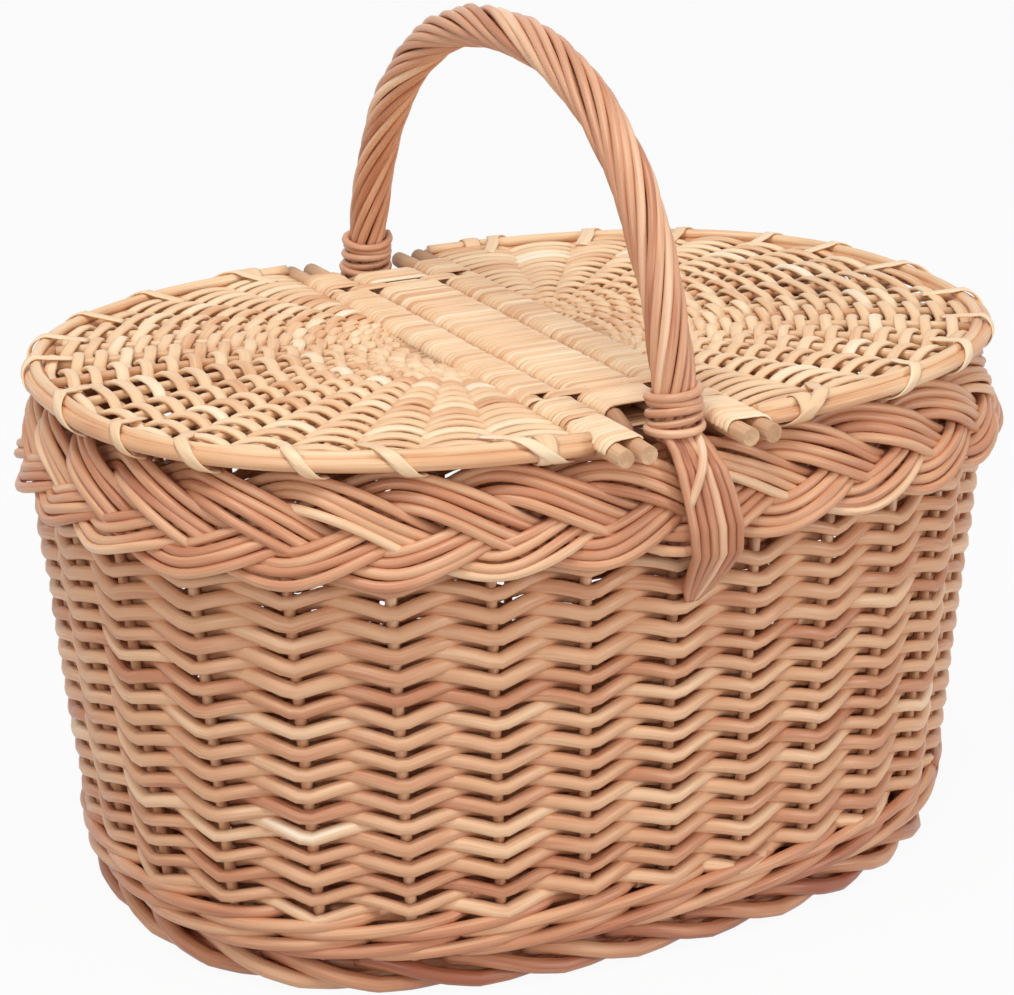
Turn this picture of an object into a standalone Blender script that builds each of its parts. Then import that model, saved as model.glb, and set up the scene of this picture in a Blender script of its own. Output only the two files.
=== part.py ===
"""Oval willow picnic basket with two lids and a roped bow handle.

Metres, +Z up. The origin is on the floor under the middle of the oval. X runs along the length,
-Y is the front. The two lids open upward on sticks that turn in loops on the bridge between them.
"""
import math

import bmesh
import bpy
from mathutils import Matrix, Vector

# The oval of the wall, measured to the middle of the wall's thickness
BASE_HALF_LENGTH = 0.1950
BASE_HALF_WIDTH = 0.1415
TOP_HALF_LENGTH = 0.2150
TOP_HALF_WIDTH = 0.1465
OVAL_POWER = 2.45

# Room between pieces that touch on the real basket
CLEARANCE = 0.0003
OVERRUN = 0.0040

# Foot border, the rolled ring that the basket stands on
FOOT_HEIGHT = 0.0160
FOOT_HALF_WIDTH = 0.0085
FOOT_SET_IN = 0.0015
FOOT_KNUCKLE = 0.0018
FOOT_ROUND = 0.0035

# Base: a woven oval with sticks let into it, long ones above and cross ones below
BASE_THICKNESS = 0.0100
BASE_RIDGE = 0.0006
BASE_STICK_RADIUS = 0.0030
BASE_STICK_PROUD = 0.0012
LONG_STICK_SPACING = 0.0500
CROSS_STICK_SPACING = 0.0700
BASE_RIDGES = 3
BASE_SIDES = 20

# Stakes and the rods woven round them; the bow's own ends stand at the two handle places
STAKE_RADIUS = 0.0026
RIGHT_STAKES = 14
LEFT_STAKES = 13
WALE_ROWS = 4
WALE_ROD_HEIGHT = 0.0044
WALE_ROD_DEPTH = 0.0040
WEAVE_ROWS = 23
WEAVER_HEIGHT = 0.0061
WEAVER_DEPTH = 0.0036
ROW_GAP = 0.0005
STEEPEST_BEND = math.radians(32.0)

# Plaited border of three flat strands, each a bundle of rods; it opens round the bow's feet
STRAND_WIDTH = 0.0156
STRAND_THICKNESS = 0.0056
PLAIT_HALF_WIDTH = 0.0170
PLAIT_HALF_DEPTH = 0.0064
PLAIT_TILT = math.radians(64.0)
PLAIT_REPEATS = 10
PLAIT_STEPS = 6
PLAIT_OPENED_SHARE = 1.1
BORDER_OUTSET_LONG = 0.0023
BORDER_OUTSET_WIDE = 0.0060
BORDER_SEAT_SHARE = 0.90

# Sticks that carry the lids and the bridge
STICK_RADIUS = 0.0042
SKEIN = 0.0013
BRIDGE_X = -0.0100
BRIDGE_HALF_WIDTH = 0.0175
BRIDGE_FRONT_SET_IN = 0.0405
BRIDGE_BACK_SET_IN = 0.0330
BRIDGE_RIDGE = 0.0006
BRIDGE_RIDGES = 18
BRIDGE_RUN_SET_IN = 0.0325
BRIDGE_TUCK_IN_SHARE = 0.61
BRIDGE_TUCK_DOWN_SHARE = 0.35
BRIDGE_TUCK_SHARES = ((0.0, 0.0), (0.30, 0.09), (0.48, 0.34), (0.70, 0.67), (1.0, 1.0))

# Lids
HINGE_GAP = 0.0010
LID_STICK_OUTSET = 0.0175
LID_STICK_SET_IN = 0.0005
LID_ROLL_SET_IN = 0.0255
LID_OVERHANG = 0.0005
HOOP_RADIUS = 0.0050
LID_THICKNESS = 0.0054
LID_CROWN = 0.0030
LID_RELIEF = 0.0019
LID_ROWS = 11
LID_FAN = 18
LID_HEART = 0.0160

# Loops of skein that hinge a lid's inner stick to the bridge
LOOP_THICKNESS = 0.0012
LOOP_WIDTH = 0.0080
LOOP_SET_IN = 0.0575
LOOP_SIDE_ROOM = 0.0008
LOOP_ARC_STEPS = 6

# Bow handle: a core rod roped with long twisted rods, lashed at both feet
HANDLE_X = -0.0070
HANDLE_SET_IN = 0.0060
HANDLE_TOP = 0.3808
HANDLE_POWER = 2.24
CORE_RADIUS = 0.0048
SLYPE_RADIUS = 0.0026
CORE_ENTRY_SHARE = 0.80
CORE_SIDES = 6
ROPE_RADIUS = 0.0095
ROPE_LOBE = 0.0013
ROPE_RODS = 7
ROPE_LAY = 0.2000
ROPE_STEP = 0.0190
LASHING_HEIGHT = 0.0160
LASHING_THICKNESS = 0.0034
LASHING_COILS = 5
LASHING_STEPS = 10
EAR_THICKNESS = 0.0030
EAR_RIB = 0.0010
EAR_RODS = 5
EAR_TOP_HALF_WIDTH = 0.0090
EAR_HALF_WIDTH = 0.0115
EAR_TIP_HALF_WIDTH = 0.0025
EAR_LEAN = 0.0105
EAR_LENGTH = 0.0260

# Levels and places that follow from the sizes above
STAKE_PLACES = RIGHT_STAKES + LEFT_STAKES + 2
FOOT_TOP = FOOT_HEIGHT + CLEARANCE
STAKE_FOOT = FOOT_TOP + CLEARANCE
WALE_PITCH = WALE_ROD_HEIGHT + ROW_GAP
WALE_START = FOOT_TOP + WALE_ROD_HEIGHT / 2
WALE_END = WALE_START + WALE_ROWS * WALE_PITCH
WEAVE_PITCH = WEAVER_HEIGHT + ROW_GAP
WEAVE_START = WALE_END - WALE_PITCH + (WALE_ROD_HEIGHT + WEAVER_HEIGHT) / 2 + ROW_GAP
WALL_TOP = WEAVE_START + WEAVE_ROWS * WEAVE_PITCH + WEAVER_HEIGHT / 2
WEAVE_REACH = (STAKE_RADIUS + CLEARANCE + WEAVER_DEPTH / 2) / math.cos(STEEPEST_BEND)
WALE_REACH = (STAKE_RADIUS + CLEARANCE + WALE_ROD_DEPTH / 2) / math.cos(STEEPEST_BEND)
WALE_FACE = WALE_REACH + WALE_ROD_DEPTH / 2
WEAVE_FACE = WEAVE_REACH + WEAVER_DEPTH / 2

BORDER_HALF_LENGTH = TOP_HALF_LENGTH + BORDER_OUTSET_LONG
BORDER_HALF_WIDTH = TOP_HALF_WIDTH + BORDER_OUTSET_WIDE
PLAIT_CORNERS = ((PLAIT_HALF_WIDTH + STRAND_WIDTH / 2, 0.0),
                 (PLAIT_HALF_WIDTH + STRAND_WIDTH / 4, STRAND_THICKNESS / 2),
                 (PLAIT_HALF_WIDTH / 2 + STRAND_WIDTH / 4,
                  PLAIT_HALF_DEPTH * math.sin(math.pi / 3) + STRAND_THICKNESS / 2))
BORDER_REACH = max(a * math.cos(PLAIT_TILT) + b * math.sin(PLAIT_TILT) for a, b in PLAIT_CORNERS)
BORDER_RISE = max(a * math.sin(PLAIT_TILT) + b * math.cos(PLAIT_TILT) for a, b in PLAIT_CORNERS)
BORDER_Z = WALL_TOP + CLEARANCE + BORDER_SEAT_SHARE * BORDER_RISE
BORDER_TOP = BORDER_Z + BORDER_RISE

DECK_Z = BORDER_TOP + CLEARANCE + STICK_RADIUS
BRIDGE_STICK_OFFSET = BRIDGE_HALF_WIDTH - SKEIN - CLEARANCE - STICK_RADIUS
HINGE_OFFSET = BRIDGE_HALF_WIDTH + HINGE_GAP + SKEIN + CLEARANCE + STICK_RADIUS
LOOP_CORNERS = 1.0 / math.cos(math.pi / (2 * LOOP_ARC_STEPS))
STICK_SPACING = (STICK_RADIUS + CLEARANCE + LOOP_THICKNESS) * LOOP_CORNERS + CLEARANCE + STICK_RADIUS
ROLL_HALF_HEIGHT = STICK_RADIUS + CLEARANCE + SKEIN
HOOP_START = HINGE_OFFSET + STICK_SPACING + STICK_RADIUS + SKEIN
HOOP_Z = BORDER_TOP + CLEARANCE + HOOP_RADIUS
HOOP_HALF_LENGTH = BORDER_HALF_LENGTH + LID_OVERHANG
HOOP_HALF_WIDTH = BORDER_HALF_WIDTH + LID_OVERHANG - HOOP_RADIUS / 2

HANDLE_HALF_SPAN = BORDER_HALF_WIDTH - HANDLE_SET_IN
BRIDGE_FRONT = BORDER_HALF_WIDTH - BRIDGE_FRONT_SET_IN
BRIDGE_BACK = BORDER_HALF_WIDTH - BRIDGE_BACK_SET_IN
BRIDGE_STICK_RUN = BORDER_HALF_WIDTH - BRIDGE_RUN_SET_IN
LID_STICK_FRONT = BORDER_HALF_WIDTH + LID_STICK_OUTSET
LID_STICK_BACK = BORDER_HALF_WIDTH - LID_STICK_SET_IN
LID_ROLL_HALF_RUN = BORDER_HALF_WIDTH - LID_ROLL_SET_IN
LOOP_PLACE = BORDER_HALF_WIDTH - LOOP_SET_IN

# Colours of the willow, as linear red, green and blue
BUFF = (0.62, 0.36, 0.17)
PALE = (0.78, 0.56, 0.31)
BROWN = (0.50, 0.25, 0.11)
STICK_BROWN = (0.42, 0.25, 0.16)


def clear_scene():
    """Remove what the file opened with."""
    for old in list(bpy.data.objects):
        bpy.data.objects.remove(old, do_unlink=True)


def willow(name, colour, roughness=0.55):
    """A plain willow finish."""
    material = bpy.data.materials.new(name)
    material.use_nodes = True
    shader = material.node_tree.nodes["Principled BSDF"]
    shader.inputs["Base Color"].default_value = (*colour, 1.0)
    shader.inputs["Roughness"].default_value = roughness
    shader.inputs["Metallic"].default_value = 0.0
    material.diffuse_color = (*colour, 1.0)
    return material


def link(name, data, material):
    """Put an object with its own material in the scene."""
    piece = bpy.data.objects.new(name, data)
    bpy.context.scene.collection.objects.link(piece)
    if material is not None:
        data.materials.append(material)
    return piece


def rod(name, points, radius, material, cyclic=False, sides=6, shares=None):
    """A round rod along points; shares thin it point by point."""
    curve = bpy.data.curves.new(name, "CURVE")
    curve.dimensions = "3D"
    curve.bevel_depth = radius
    curve.bevel_resolution = sides // 2 - 2
    curve.use_fill_caps = not cyclic
    spline = curve.splines.new("POLY")
    spline.points.add(len(points) - 1)
    for index, point in enumerate(points):
        spline.points[index].co = (*point, 1.0)
        spline.points[index].radius = 1.0 if shares is None else shares[index]
    spline.use_cyclic_u = cyclic
    return link(name, curve, material)


def loft(name, rings, material, cyclic=False):
    """A closed body through rings of the same number of points."""
    shape = bmesh.new()
    rows = [[shape.verts.new(point) for point in ring] for ring in rings]
    count = len(rows[0])
    pairs = list(zip(rows, rows[1:]))
    if cyclic:
        pairs.append((rows[-1], rows[0]))
    else:
        shape.faces.new(rows[0])
        shape.faces.new(reversed(rows[-1]))
    for here, after in pairs:
        for k in range(count):
            n = (k + 1) % count
            shape.faces.new((here[n], here[k], after[k], after[n]))
    bmesh.ops.recalc_face_normals(shape, faces=shape.faces)
    mesh = bpy.data.meshes.new(name)
    shape.to_mesh(mesh)
    shape.free()
    return link(name, mesh, material)


def cutter(name, piece_maker):
    """Mark a piece as a tool for a Boolean, left out of the basket."""
    piece = piece_maker(name)
    piece.hide_render = True
    piece.display_type = "WIRE"
    return piece


def combine(piece, tool, operation):
    """Cut or join a tool into a piece."""
    change = piece.modifiers.new(tool.name, "BOOLEAN")
    change.operation = operation
    change.object = tool
    change.solver = "EXACT"


def bore(start, end, radius, sides=8):
    """Maker of a cutter that clears a straight round rod from start to end."""
    start, end = Vector(start), Vector(end)
    along = (end - start).normalized()
    side = along.cross(Vector((0.0, 0.0, 1.0))).normalized()
    up = side.cross(along)
    flat_radius = radius / math.cos(math.pi / sides)

    def make(name):
        rings = []
        for point in (start, end):
            angles = [2 * math.pi * (k + 0.5) / sides for k in range(sides)]
            rings.append([point + (side * math.cos(a) + up * math.sin(a)) * flat_radius for a in angles])
        return loft(name, rings, None)

    return make


def block(low, high):
    """Maker of a box-shaped cutter between two corners."""

    def make(name):
        shape = bmesh.new()
        bmesh.ops.create_cube(shape, size=1.0)
        middle = (Vector(low) + Vector(high)) / 2
        for corner in shape.verts:
            corner.co = Vector([m + c * (h - l) for m, c, l, h in zip(middle, corner.co, low, high)])
        mesh = bpy.data.meshes.new(name)
        shape.to_mesh(mesh)
        shape.free()
        return link(name, mesh, None)

    return make


def signed_power(value, power):
    return math.copysign(abs(value) ** power, value)


def oval(angle, half_length, half_width):
    """A point of the basket's oval, a superellipse."""
    return Vector((
        half_length * signed_power(math.cos(angle), 2 / OVAL_POWER),
        half_width * signed_power(math.sin(angle), 2 / OVAL_POWER),
        0.0))


def oval_outward(point, half_length, half_width):
    """The direction straight out of the oval at a point on it."""
    across = signed_power(point.x / half_length, OVAL_POWER - 1) / half_length
    along = signed_power(point.y / half_width, OVAL_POWER - 1) / half_width
    return Vector((across, along, 0.0)).normalized()


def half_width_at(x, half_length, half_width):
    """Half the oval's width at a place along its length."""
    left_over = max(0.0, 1.0 - (abs(x) / half_length) ** OVAL_POWER)
    return half_width * left_over ** (1 / OVAL_POWER)


def angle_at(x, half_length, front):
    """The oval's angle where it passes x, on the front or the back."""
    angle = math.acos(signed_power(x / half_length, OVAL_POWER / 2))
    return -angle if front else angle


class RoundTheOval:
    """Even shares of the way round, from the bow's front foot through the right end and back."""

    STEPS = 2400

    def __init__(self, half_length, half_width):
        front = angle_at(HANDLE_X, half_length, True)
        back = angle_at(HANDLE_X, half_length, False)
        self.halves = []
        for start, end in ((front, back), (back, front + 2 * math.pi)):
            angles = [start + (end - start) * k / self.STEPS for k in range(self.STEPS + 1)]
            points = [oval(a, half_length, half_width) for a in angles]
            lengths = [0.0]
            for p, q in zip(points, points[1:]):
                lengths.append(lengths[-1] + (q - p).length)
            self.halves.append((angles, lengths))

    def angle(self, share):
        """The angle at a share, 0 and 0.5 being the bow's two feet."""
        share = share % 1.0
        angles, lengths = self.halves[0 if share < 0.5 else 1]
        wanted = (share % 0.5) * 2 * lengths[-1]
        low, high = 0, len(lengths) - 1
        while high - low > 1:
            middle = (low + high) // 2
            if lengths[middle] > wanted:
                high = middle
            else:
                low = middle
        step = (wanted - lengths[low]) / (lengths[high] - lengths[low])
        return angles[low] + step * (angles[high] - angles[low])


ROUND = RoundTheOval(TOP_HALF_LENGTH, TOP_HALF_WIDTH)


def wall_sizes(z):
    """The wall's half length and half width at a height."""
    rise = z / WALL_TOP
    return (BASE_HALF_LENGTH + (TOP_HALF_LENGTH - BASE_HALF_LENGTH) * rise,
            BASE_HALF_WIDTH + (TOP_HALF_WIDTH - BASE_HALF_WIDTH) * rise)


def wall_point(share, z, offset=0.0):
    """A point in the wall, offset outward from its middle, and the outward direction."""
    half_length, half_width = wall_sizes(z)
    point = oval(ROUND.angle(share), half_length, half_width)
    outward = oval_outward(point, half_length, half_width)
    point = point + outward * offset
    point.z = z
    return point, outward


def stake_share(place):
    """The share of the way round at which a stake stands; 0 and one other are the bow's."""
    place = place % STAKE_PLACES
    right_spaces = RIGHT_STAKES + 1
    if place <= right_spaces:
        return 0.5 * place / right_spaces
    return 0.5 + 0.5 * (place - right_spaces) / (LEFT_STAKES + 1)


def woven_rod(name, start, rows, pitch, height, depth, reach, goes_behind, material, first=0):
    """One long rod woven upward in a spiral, in front of some stakes and behind others.

    Its section is flat against the inside and ridged outside.
    """
    rings = []
    for step in range(first, first + rows * STAKE_PLACES + 1):
        z = start + pitch * (step - first) / STAKE_PLACES
        side = -1.0 if goes_behind(step) else 1.0
        point, outward = wall_point(stake_share(step), z, side * reach)
        across = outward * depth / 2
        up = Vector((0.0, 0.0, height / 2))
        rings.append([point - across - up, point + across, point - across + up])
    return loft(name, rings, material)


def make_wall(material):
    """Stakes, the wale at the foot and the randing above it."""
    bow_places = (0, RIGHT_STAKES + 1)
    number = 0
    for place in range(STAKE_PLACES):
        if place in bow_places:
            continue
        number += 1
        share = stake_share(place)
        foot, _ = wall_point(share, STAKE_FOOT)
        top, _ = wall_point(share, WALL_TOP)
        rod(f"stake_{number:02d}", [foot, top], STAKE_RADIUS, material)
    woven_rod("bottom_wale", WALE_START, WALE_ROWS, WALE_PITCH, WALE_ROD_HEIGHT, WALE_ROD_DEPTH,
              WALE_REACH, lambda step: step % 3 == 2, material)
    woven_rod("side_weave", WEAVE_START, WEAVE_ROWS, WEAVE_PITCH, WEAVER_HEIGHT, WEAVER_DEPTH,
              WEAVE_REACH, lambda step: step % 2 == 1, material, first=1)


def make_foot(material):
    """The rolled ring under the wall, knuckled once for each stake."""
    rings = []
    for step in range(2 * STAKE_PLACES):
        share = (stake_share(step // 2) + (0.5 / STAKE_PLACES if step % 2 else 0.0)) % 1.0
        knuckle = FOOT_KNUCKLE if step % 2 else 0.0
        outer = FOOT_HALF_WIDTH - FOOT_SET_IN - knuckle
        inner = -FOOT_HALF_WIDTH - FOOT_SET_IN
        ring = []
        for offset, height in ((inner, 0.0), (outer - FOOT_ROUND, 0.0), (outer, FOOT_HEIGHT / 2),
                               (outer - FOOT_ROUND, FOOT_HEIGHT), (inner, FOOT_HEIGHT)):
            point, outward = wall_point(share, 0.0)
            point = point + outward * offset
            point.z = height
            ring.append(point)
        rings.append(ring)
    loft("foot_border", rings, material, cyclic=True)


def make_base(material, stick_material):
    """The woven oval bottom and the sticks let into its two faces."""
    half_length, half_width = wall_sizes(FOOT_TOP)
    edge_length = half_length - WALE_FACE - CLEARANCE
    edge_width = half_width - WALE_FACE - CLEARANCE
    bottom = FOOT_TOP
    top = FOOT_TOP + BASE_THICKNESS
    rings = []
    shares = [(k + 1) / BASE_RIDGES for k in range(BASE_RIDGES)]

    def ring(share, z):
        points = []
        for k in range(BASE_SIDES):
            point = oval(2 * math.pi * (k + 0.5) / BASE_SIDES, edge_length * share, edge_width * share)
            point.z = z
            points.append(point)
        return points

    for index, share in enumerate(shares):
        rings.append(ring(share, bottom + (BASE_RIDGE if index % 2 else 0.0)))
    for index, share in reversed(list(enumerate(shares))):
        rings.append(ring(share, top - (BASE_RIDGE if index % 2 else 0.0)))
    weave = loft("base_weave", rings, material)

    long_z = top + BASE_STICK_PROUD - BASE_STICK_RADIUS
    cross_z = bottom - BASE_STICK_PROUD + BASE_STICK_RADIUS
    groove = BASE_STICK_RADIUS + CLEARANCE
    foot_inner = FOOT_HALF_WIDTH + FOOT_SET_IN
    for index, side in enumerate((-1, 1)):
        y = side * LONG_STICK_SPACING / 2
        reach = half_width_at(y, edge_width, edge_length) - CLEARANCE
        ends = [Vector((-reach, y, long_z)), Vector((reach, y, long_z))]
        rod(f"base_long_stick_{index + 1}", ends, BASE_STICK_RADIUS, stick_material)
        over = Vector((OVERRUN, 0.0, 0.0))
        tool = cutter(f"long_groove_{index + 1}", bore(ends[0] - over, ends[1] + over, groove))
        combine(weave, tool, "DIFFERENCE")
    for index in range(3):
        x = (index - 1) * CROSS_STICK_SPACING
        reach = half_width_at(x, BASE_HALF_LENGTH - foot_inner, BASE_HALF_WIDTH - foot_inner) - 3 * CLEARANCE
        ends = [Vector((x, -reach, cross_z)), Vector((x, reach, cross_z))]
        rod(f"base_cross_stick_{index + 1}", ends, BASE_STICK_RADIUS, stick_material)
        over = Vector((0.0, CLEARANCE, 0.0))
        tool = cutter(f"cross_groove_{index + 1}", bore(ends[0] - over, ends[1] + over, groove))
        combine(weave, tool, "DIFFERENCE")


def plait_place(turn, opened=False):
    """A strand's place in the plait's own section: outward and up from its middle."""
    spread = PLAIT_OPENED_SHARE if opened else 1.0
    return (spread * PLAIT_HALF_WIDTH * math.sin(turn), PLAIT_HALF_DEPTH * math.sin(2 * turn))


def plait_to_rim(across, lift):
    """Turn a place in the plait into one measured outward and up from the border's middle."""
    return (across * math.cos(PLAIT_TILT) + lift * math.sin(PLAIT_TILT),
            lift * math.cos(PLAIT_TILT) - across * math.sin(PLAIT_TILT))


def make_border(material):
    """Three flat strands plaited round the rim, tilted to face up and out."""
    steps = PLAIT_STEPS * PLAIT_REPEATS
    thick = STRAND_THICKNESS / 2
    for strand in range(3):
        rings = []
        for step in range(steps):
            opened = step % (steps // 2) == 0
            across, lift = plait_place(strand_turn(strand, step), opened)
            wide = thick if opened else STRAND_WIDTH / 2
            middle = oval(ROUND.angle(step / steps), BORDER_HALF_LENGTH, BORDER_HALF_WIDTH)
            outward = oval_outward(middle, BORDER_HALF_LENGTH, BORDER_HALF_WIDTH)
            ring = []
            for wide_share, thick_share in ((1.0, 0.0), (0.5, 1.0), (-0.5, 1.0),
                                            (-1.0, 0.0), (-0.5, -1.0), (0.5, -1.0)):
                out, up = plait_to_rim(across + wide * wide_share, lift + thick * thick_share)
                point = middle + outward * out
                point.z = BORDER_Z + up
                ring.append(point)
            rings.append(ring)
        loft(f"border_strand_{strand + 1}", rings, material, cyclic=True)


def strand_turn(strand, step):
    """How far round its own weaving path a strand is at a step; step 0 is at the bow."""
    return 2 * math.pi * (step / PLAIT_STEPS + strand / 3) + 1.5 * math.pi


def bow_point(turn):
    """A point on the bow's middle line, turn running from 0 at the front to pi at the back."""
    y = -HANDLE_HALF_SPAN * signed_power(math.cos(turn), 2 / HANDLE_POWER)
    z = BORDER_Z + (HANDLE_TOP - BORDER_Z) * math.sin(turn) ** (2 / HANDLE_POWER)
    return Vector((HANDLE_X, y, z))


def bow_run(low_z, step):
    """Evenly spaced points of the bow above a height, front to back."""
    fine = [bow_point(math.pi * k / 4000) for k in range(1, 4000)]
    fine = [p for p in fine if p.z >= low_z]
    length = sum((q - p).length for p, q in zip(fine, fine[1:]))
    count = max(8, round(length / step))
    points = [fine[0]]
    gone = 0.0
    for p, q in zip(fine, fine[1:]):
        gone += (q - p).length
        if gone >= length * len(points) / count and len(points) < count:
            points.append(q)
    points.append(fine[-1])
    return points, length


def make_handle(material, brown):
    """Core rod from wall to wall, the rods roped round it, lashings and ears at both feet."""
    rope_base = BORDER_TOP + CLEARANCE
    run, length = bow_run(rope_base, ROPE_STEP)

    top_out, top_up = plait_to_rim(*plait_place(strand_turn(0, 0), True))
    lower_out, lower_up = plait_to_rim(*plait_place(strand_turn(2, 0), True))
    leg = []
    wall_foot, _ = wall_point(0.0, STAKE_FOOT)
    wall_head, _ = wall_point(0.0, WALL_TOP)
    room = STRAND_THICKNESS / 2 + SLYPE_RADIUS + 3 * CLEARANCE
    leg.append((abs(wall_foot.y), wall_foot.z))
    leg.append((abs(wall_head.y), wall_head.z))
    leg.append((BORDER_HALF_WIDTH + lower_out - room, BORDER_Z + lower_up))
    leg.append((BORDER_HALF_WIDTH + (top_out + lower_out) / 2, BORDER_Z))
    leg.append((BORDER_HALF_WIDTH + top_out + room, BORDER_Z + top_up))
    leg.append((abs(run[0].y) + (CORE_RADIUS - SLYPE_RADIUS) * CORE_ENTRY_SHARE, run[0].z))
    shares = [SLYPE_RADIUS / CORE_RADIUS] * len(leg)
    front = [Vector((HANDLE_X, -y, z)) for y, z in leg]
    back = [Vector((HANDLE_X, y, z)) for y, z in reversed(leg)]
    inner_run = run[1:-1]
    points = front + inner_run + back
    rod("handle_core", points, CORE_RADIUS, material, sides=CORE_SIDES,
        shares=shares + [1.0] * len(inner_run) + shares)

    rings = []
    gone = 0.0
    hollow = []
    for index, point in enumerate(run):
        before = run[max(index - 1, 0)]
        after = run[min(index + 1, len(run) - 1)]
        if index:
            gone += (point - run[index - 1]).length
        along = (after - before).normalized()
        side = Vector((1.0, 0.0, 0.0))
        other = along.cross(side).normalized()
        twist = 2 * math.pi * gone / ROPE_LAY
        outer = []
        for k in range(2 * ROPE_RODS):
            angle = math.pi * k / ROPE_RODS + twist
            radius = ROPE_RADIUS - (ROPE_LOBE if k % 2 else 0.0)
            outer.append(point + side * radius * math.cos(angle) + other * radius * math.sin(angle))
        rings.append(outer)
        hollow_radius = (CORE_RADIUS + CLEARANCE) / math.cos(math.pi / CORE_SIDES)
        hollow.append([point + (side * math.cos(a) + other * math.sin(a)) * hollow_radius
                       for a in (2 * math.pi * k / CORE_SIDES for k in range(CORE_SIDES))])
    sleeve = loft("handle_roping", rings, brown)
    first = (run[0] - run[1]).normalized() * OVERRUN
    last = (run[-1] - run[-2]).normalized() * OVERRUN
    hollow[0] = [p + first for p in hollow[0]]
    hollow[-1] = [p + last for p in hollow[-1]]
    combine(sleeve, cutter("roping_bore", lambda name: loft(name, hollow, None)), "DIFFERENCE")

    for name, end, next_point in (("front", run[0], run[1]), ("back", run[-1], run[-2])):
        make_lashing(f"handle_lashing_{name}", end, (next_point - end).normalized(), brown)
        make_ear(f"handle_ear_{name}", -1.0 if name == "front" else 1.0, brown)


def make_lashing(name, foot, along, material):
    """Five coils of rod bound round a foot of the bow."""
    side = Vector((1.0, 0.0, 0.0))
    other = along.cross(side).normalized()
    inner = ROPE_RADIUS + CLEARANCE
    outer = inner + LASHING_THICKNESS
    lean = math.asin(abs(along.y))
    lift = outer * math.tan(lean) + CLEARANCE
    coil = LASHING_HEIGHT / LASHING_COILS
    profile = [(inner, lift), ]
    for k in range(LASHING_COILS):
        profile.append((outer - LASHING_THICKNESS / 2, lift + coil * k))
        profile.append((outer, lift + coil * (k + 0.5)))
    profile.append((outer - LASHING_THICKNESS / 2, lift + LASHING_HEIGHT))
    profile.append((inner, lift + LASHING_HEIGHT))
    rings = []
    steps = LASHING_STEPS
    for step in range(steps):
        angle = 2 * math.pi * step / steps
        grow = 1.0 / math.cos(math.pi / steps)
        rings.append([foot + along * height + (side * math.cos(angle) + other * math.sin(angle)) * radius * grow
                      for radius, height in profile])
    loft(name, rings, material, cyclic=True)


def make_ear(name, side, material):
    """The fan of rods that runs from a lashing over the border and is tucked into the wall."""
    half = EAR_THICKNESS / 2
    clear = BORDER_REACH + 2 * CLEARANCE + half
    low = BORDER_Z - EAR_LENGTH - BORDER_RISE
    wall_low = wall_point(0.0, low)[0]
    wall_high = wall_point(0.0, WALL_TOP - EAR_LENGTH / 3)[0]
    face = WEAVE_FACE + 2 * CLEARANCE + half
    route = [
        (BORDER_HALF_WIDTH + 0.45 * clear, BORDER_TOP - EAR_THICKNESS),
        (BORDER_HALF_WIDTH + 0.90 * clear, BORDER_Z + 0.55 * BORDER_RISE),
        (BORDER_HALF_WIDTH + clear + half / 2, BORDER_Z),
        (BORDER_HALF_WIDTH + clear + half, BORDER_Z - 0.60 * BORDER_RISE),
        (BORDER_HALF_WIDTH + 0.95 * clear, BORDER_Z - BORDER_RISE - EAR_THICKNESS / 2),
        (abs(wall_high.y) + face, wall_high.z),
        (abs(wall_low.y) + face, wall_low.z),
    ]
    width_shares = (0.0, 0.25, 0.55, 0.85, 1.0, 0.95, 0.0)
    rings = []
    for index, (y, z) in enumerate(route):
        before = route[max(index - 1, 0)]
        after = route[min(index + 1, len(route) - 1)]
        way = Vector((after[0] - before[0], after[1] - before[1])).normalized()
        out = Vector((-way.y, way.x))
        if out.x < 0.0:
            out = -out
        share = index / (len(route) - 1)
        lean = EAR_LEAN * math.sin(math.pi * min(1.0, 1.15 * share) / 1.6)
        widest = EAR_TIP_HALF_WIDTH if index == len(route) - 1 else EAR_TOP_HALF_WIDTH
        half_width = widest + (EAR_HALF_WIDTH - widest) * width_shares[index]
        ring = []
        for k in range(2 * EAR_RODS + 1):
            x = -half_width + 2 * half_width * k / (2 * EAR_RODS)
            rise = half - (EAR_RIB if k % 2 == 0 else 0.0)
            ring.append((x, rise))
        ring.append((half_width, -half))
        ring.append((-half_width, -half))
        rings.append([Vector((HANDLE_X + lean + x, side * (y + out.x * r), z + out.y * r)) for x, r in ring])
    loft(name, rings, material)


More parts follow.
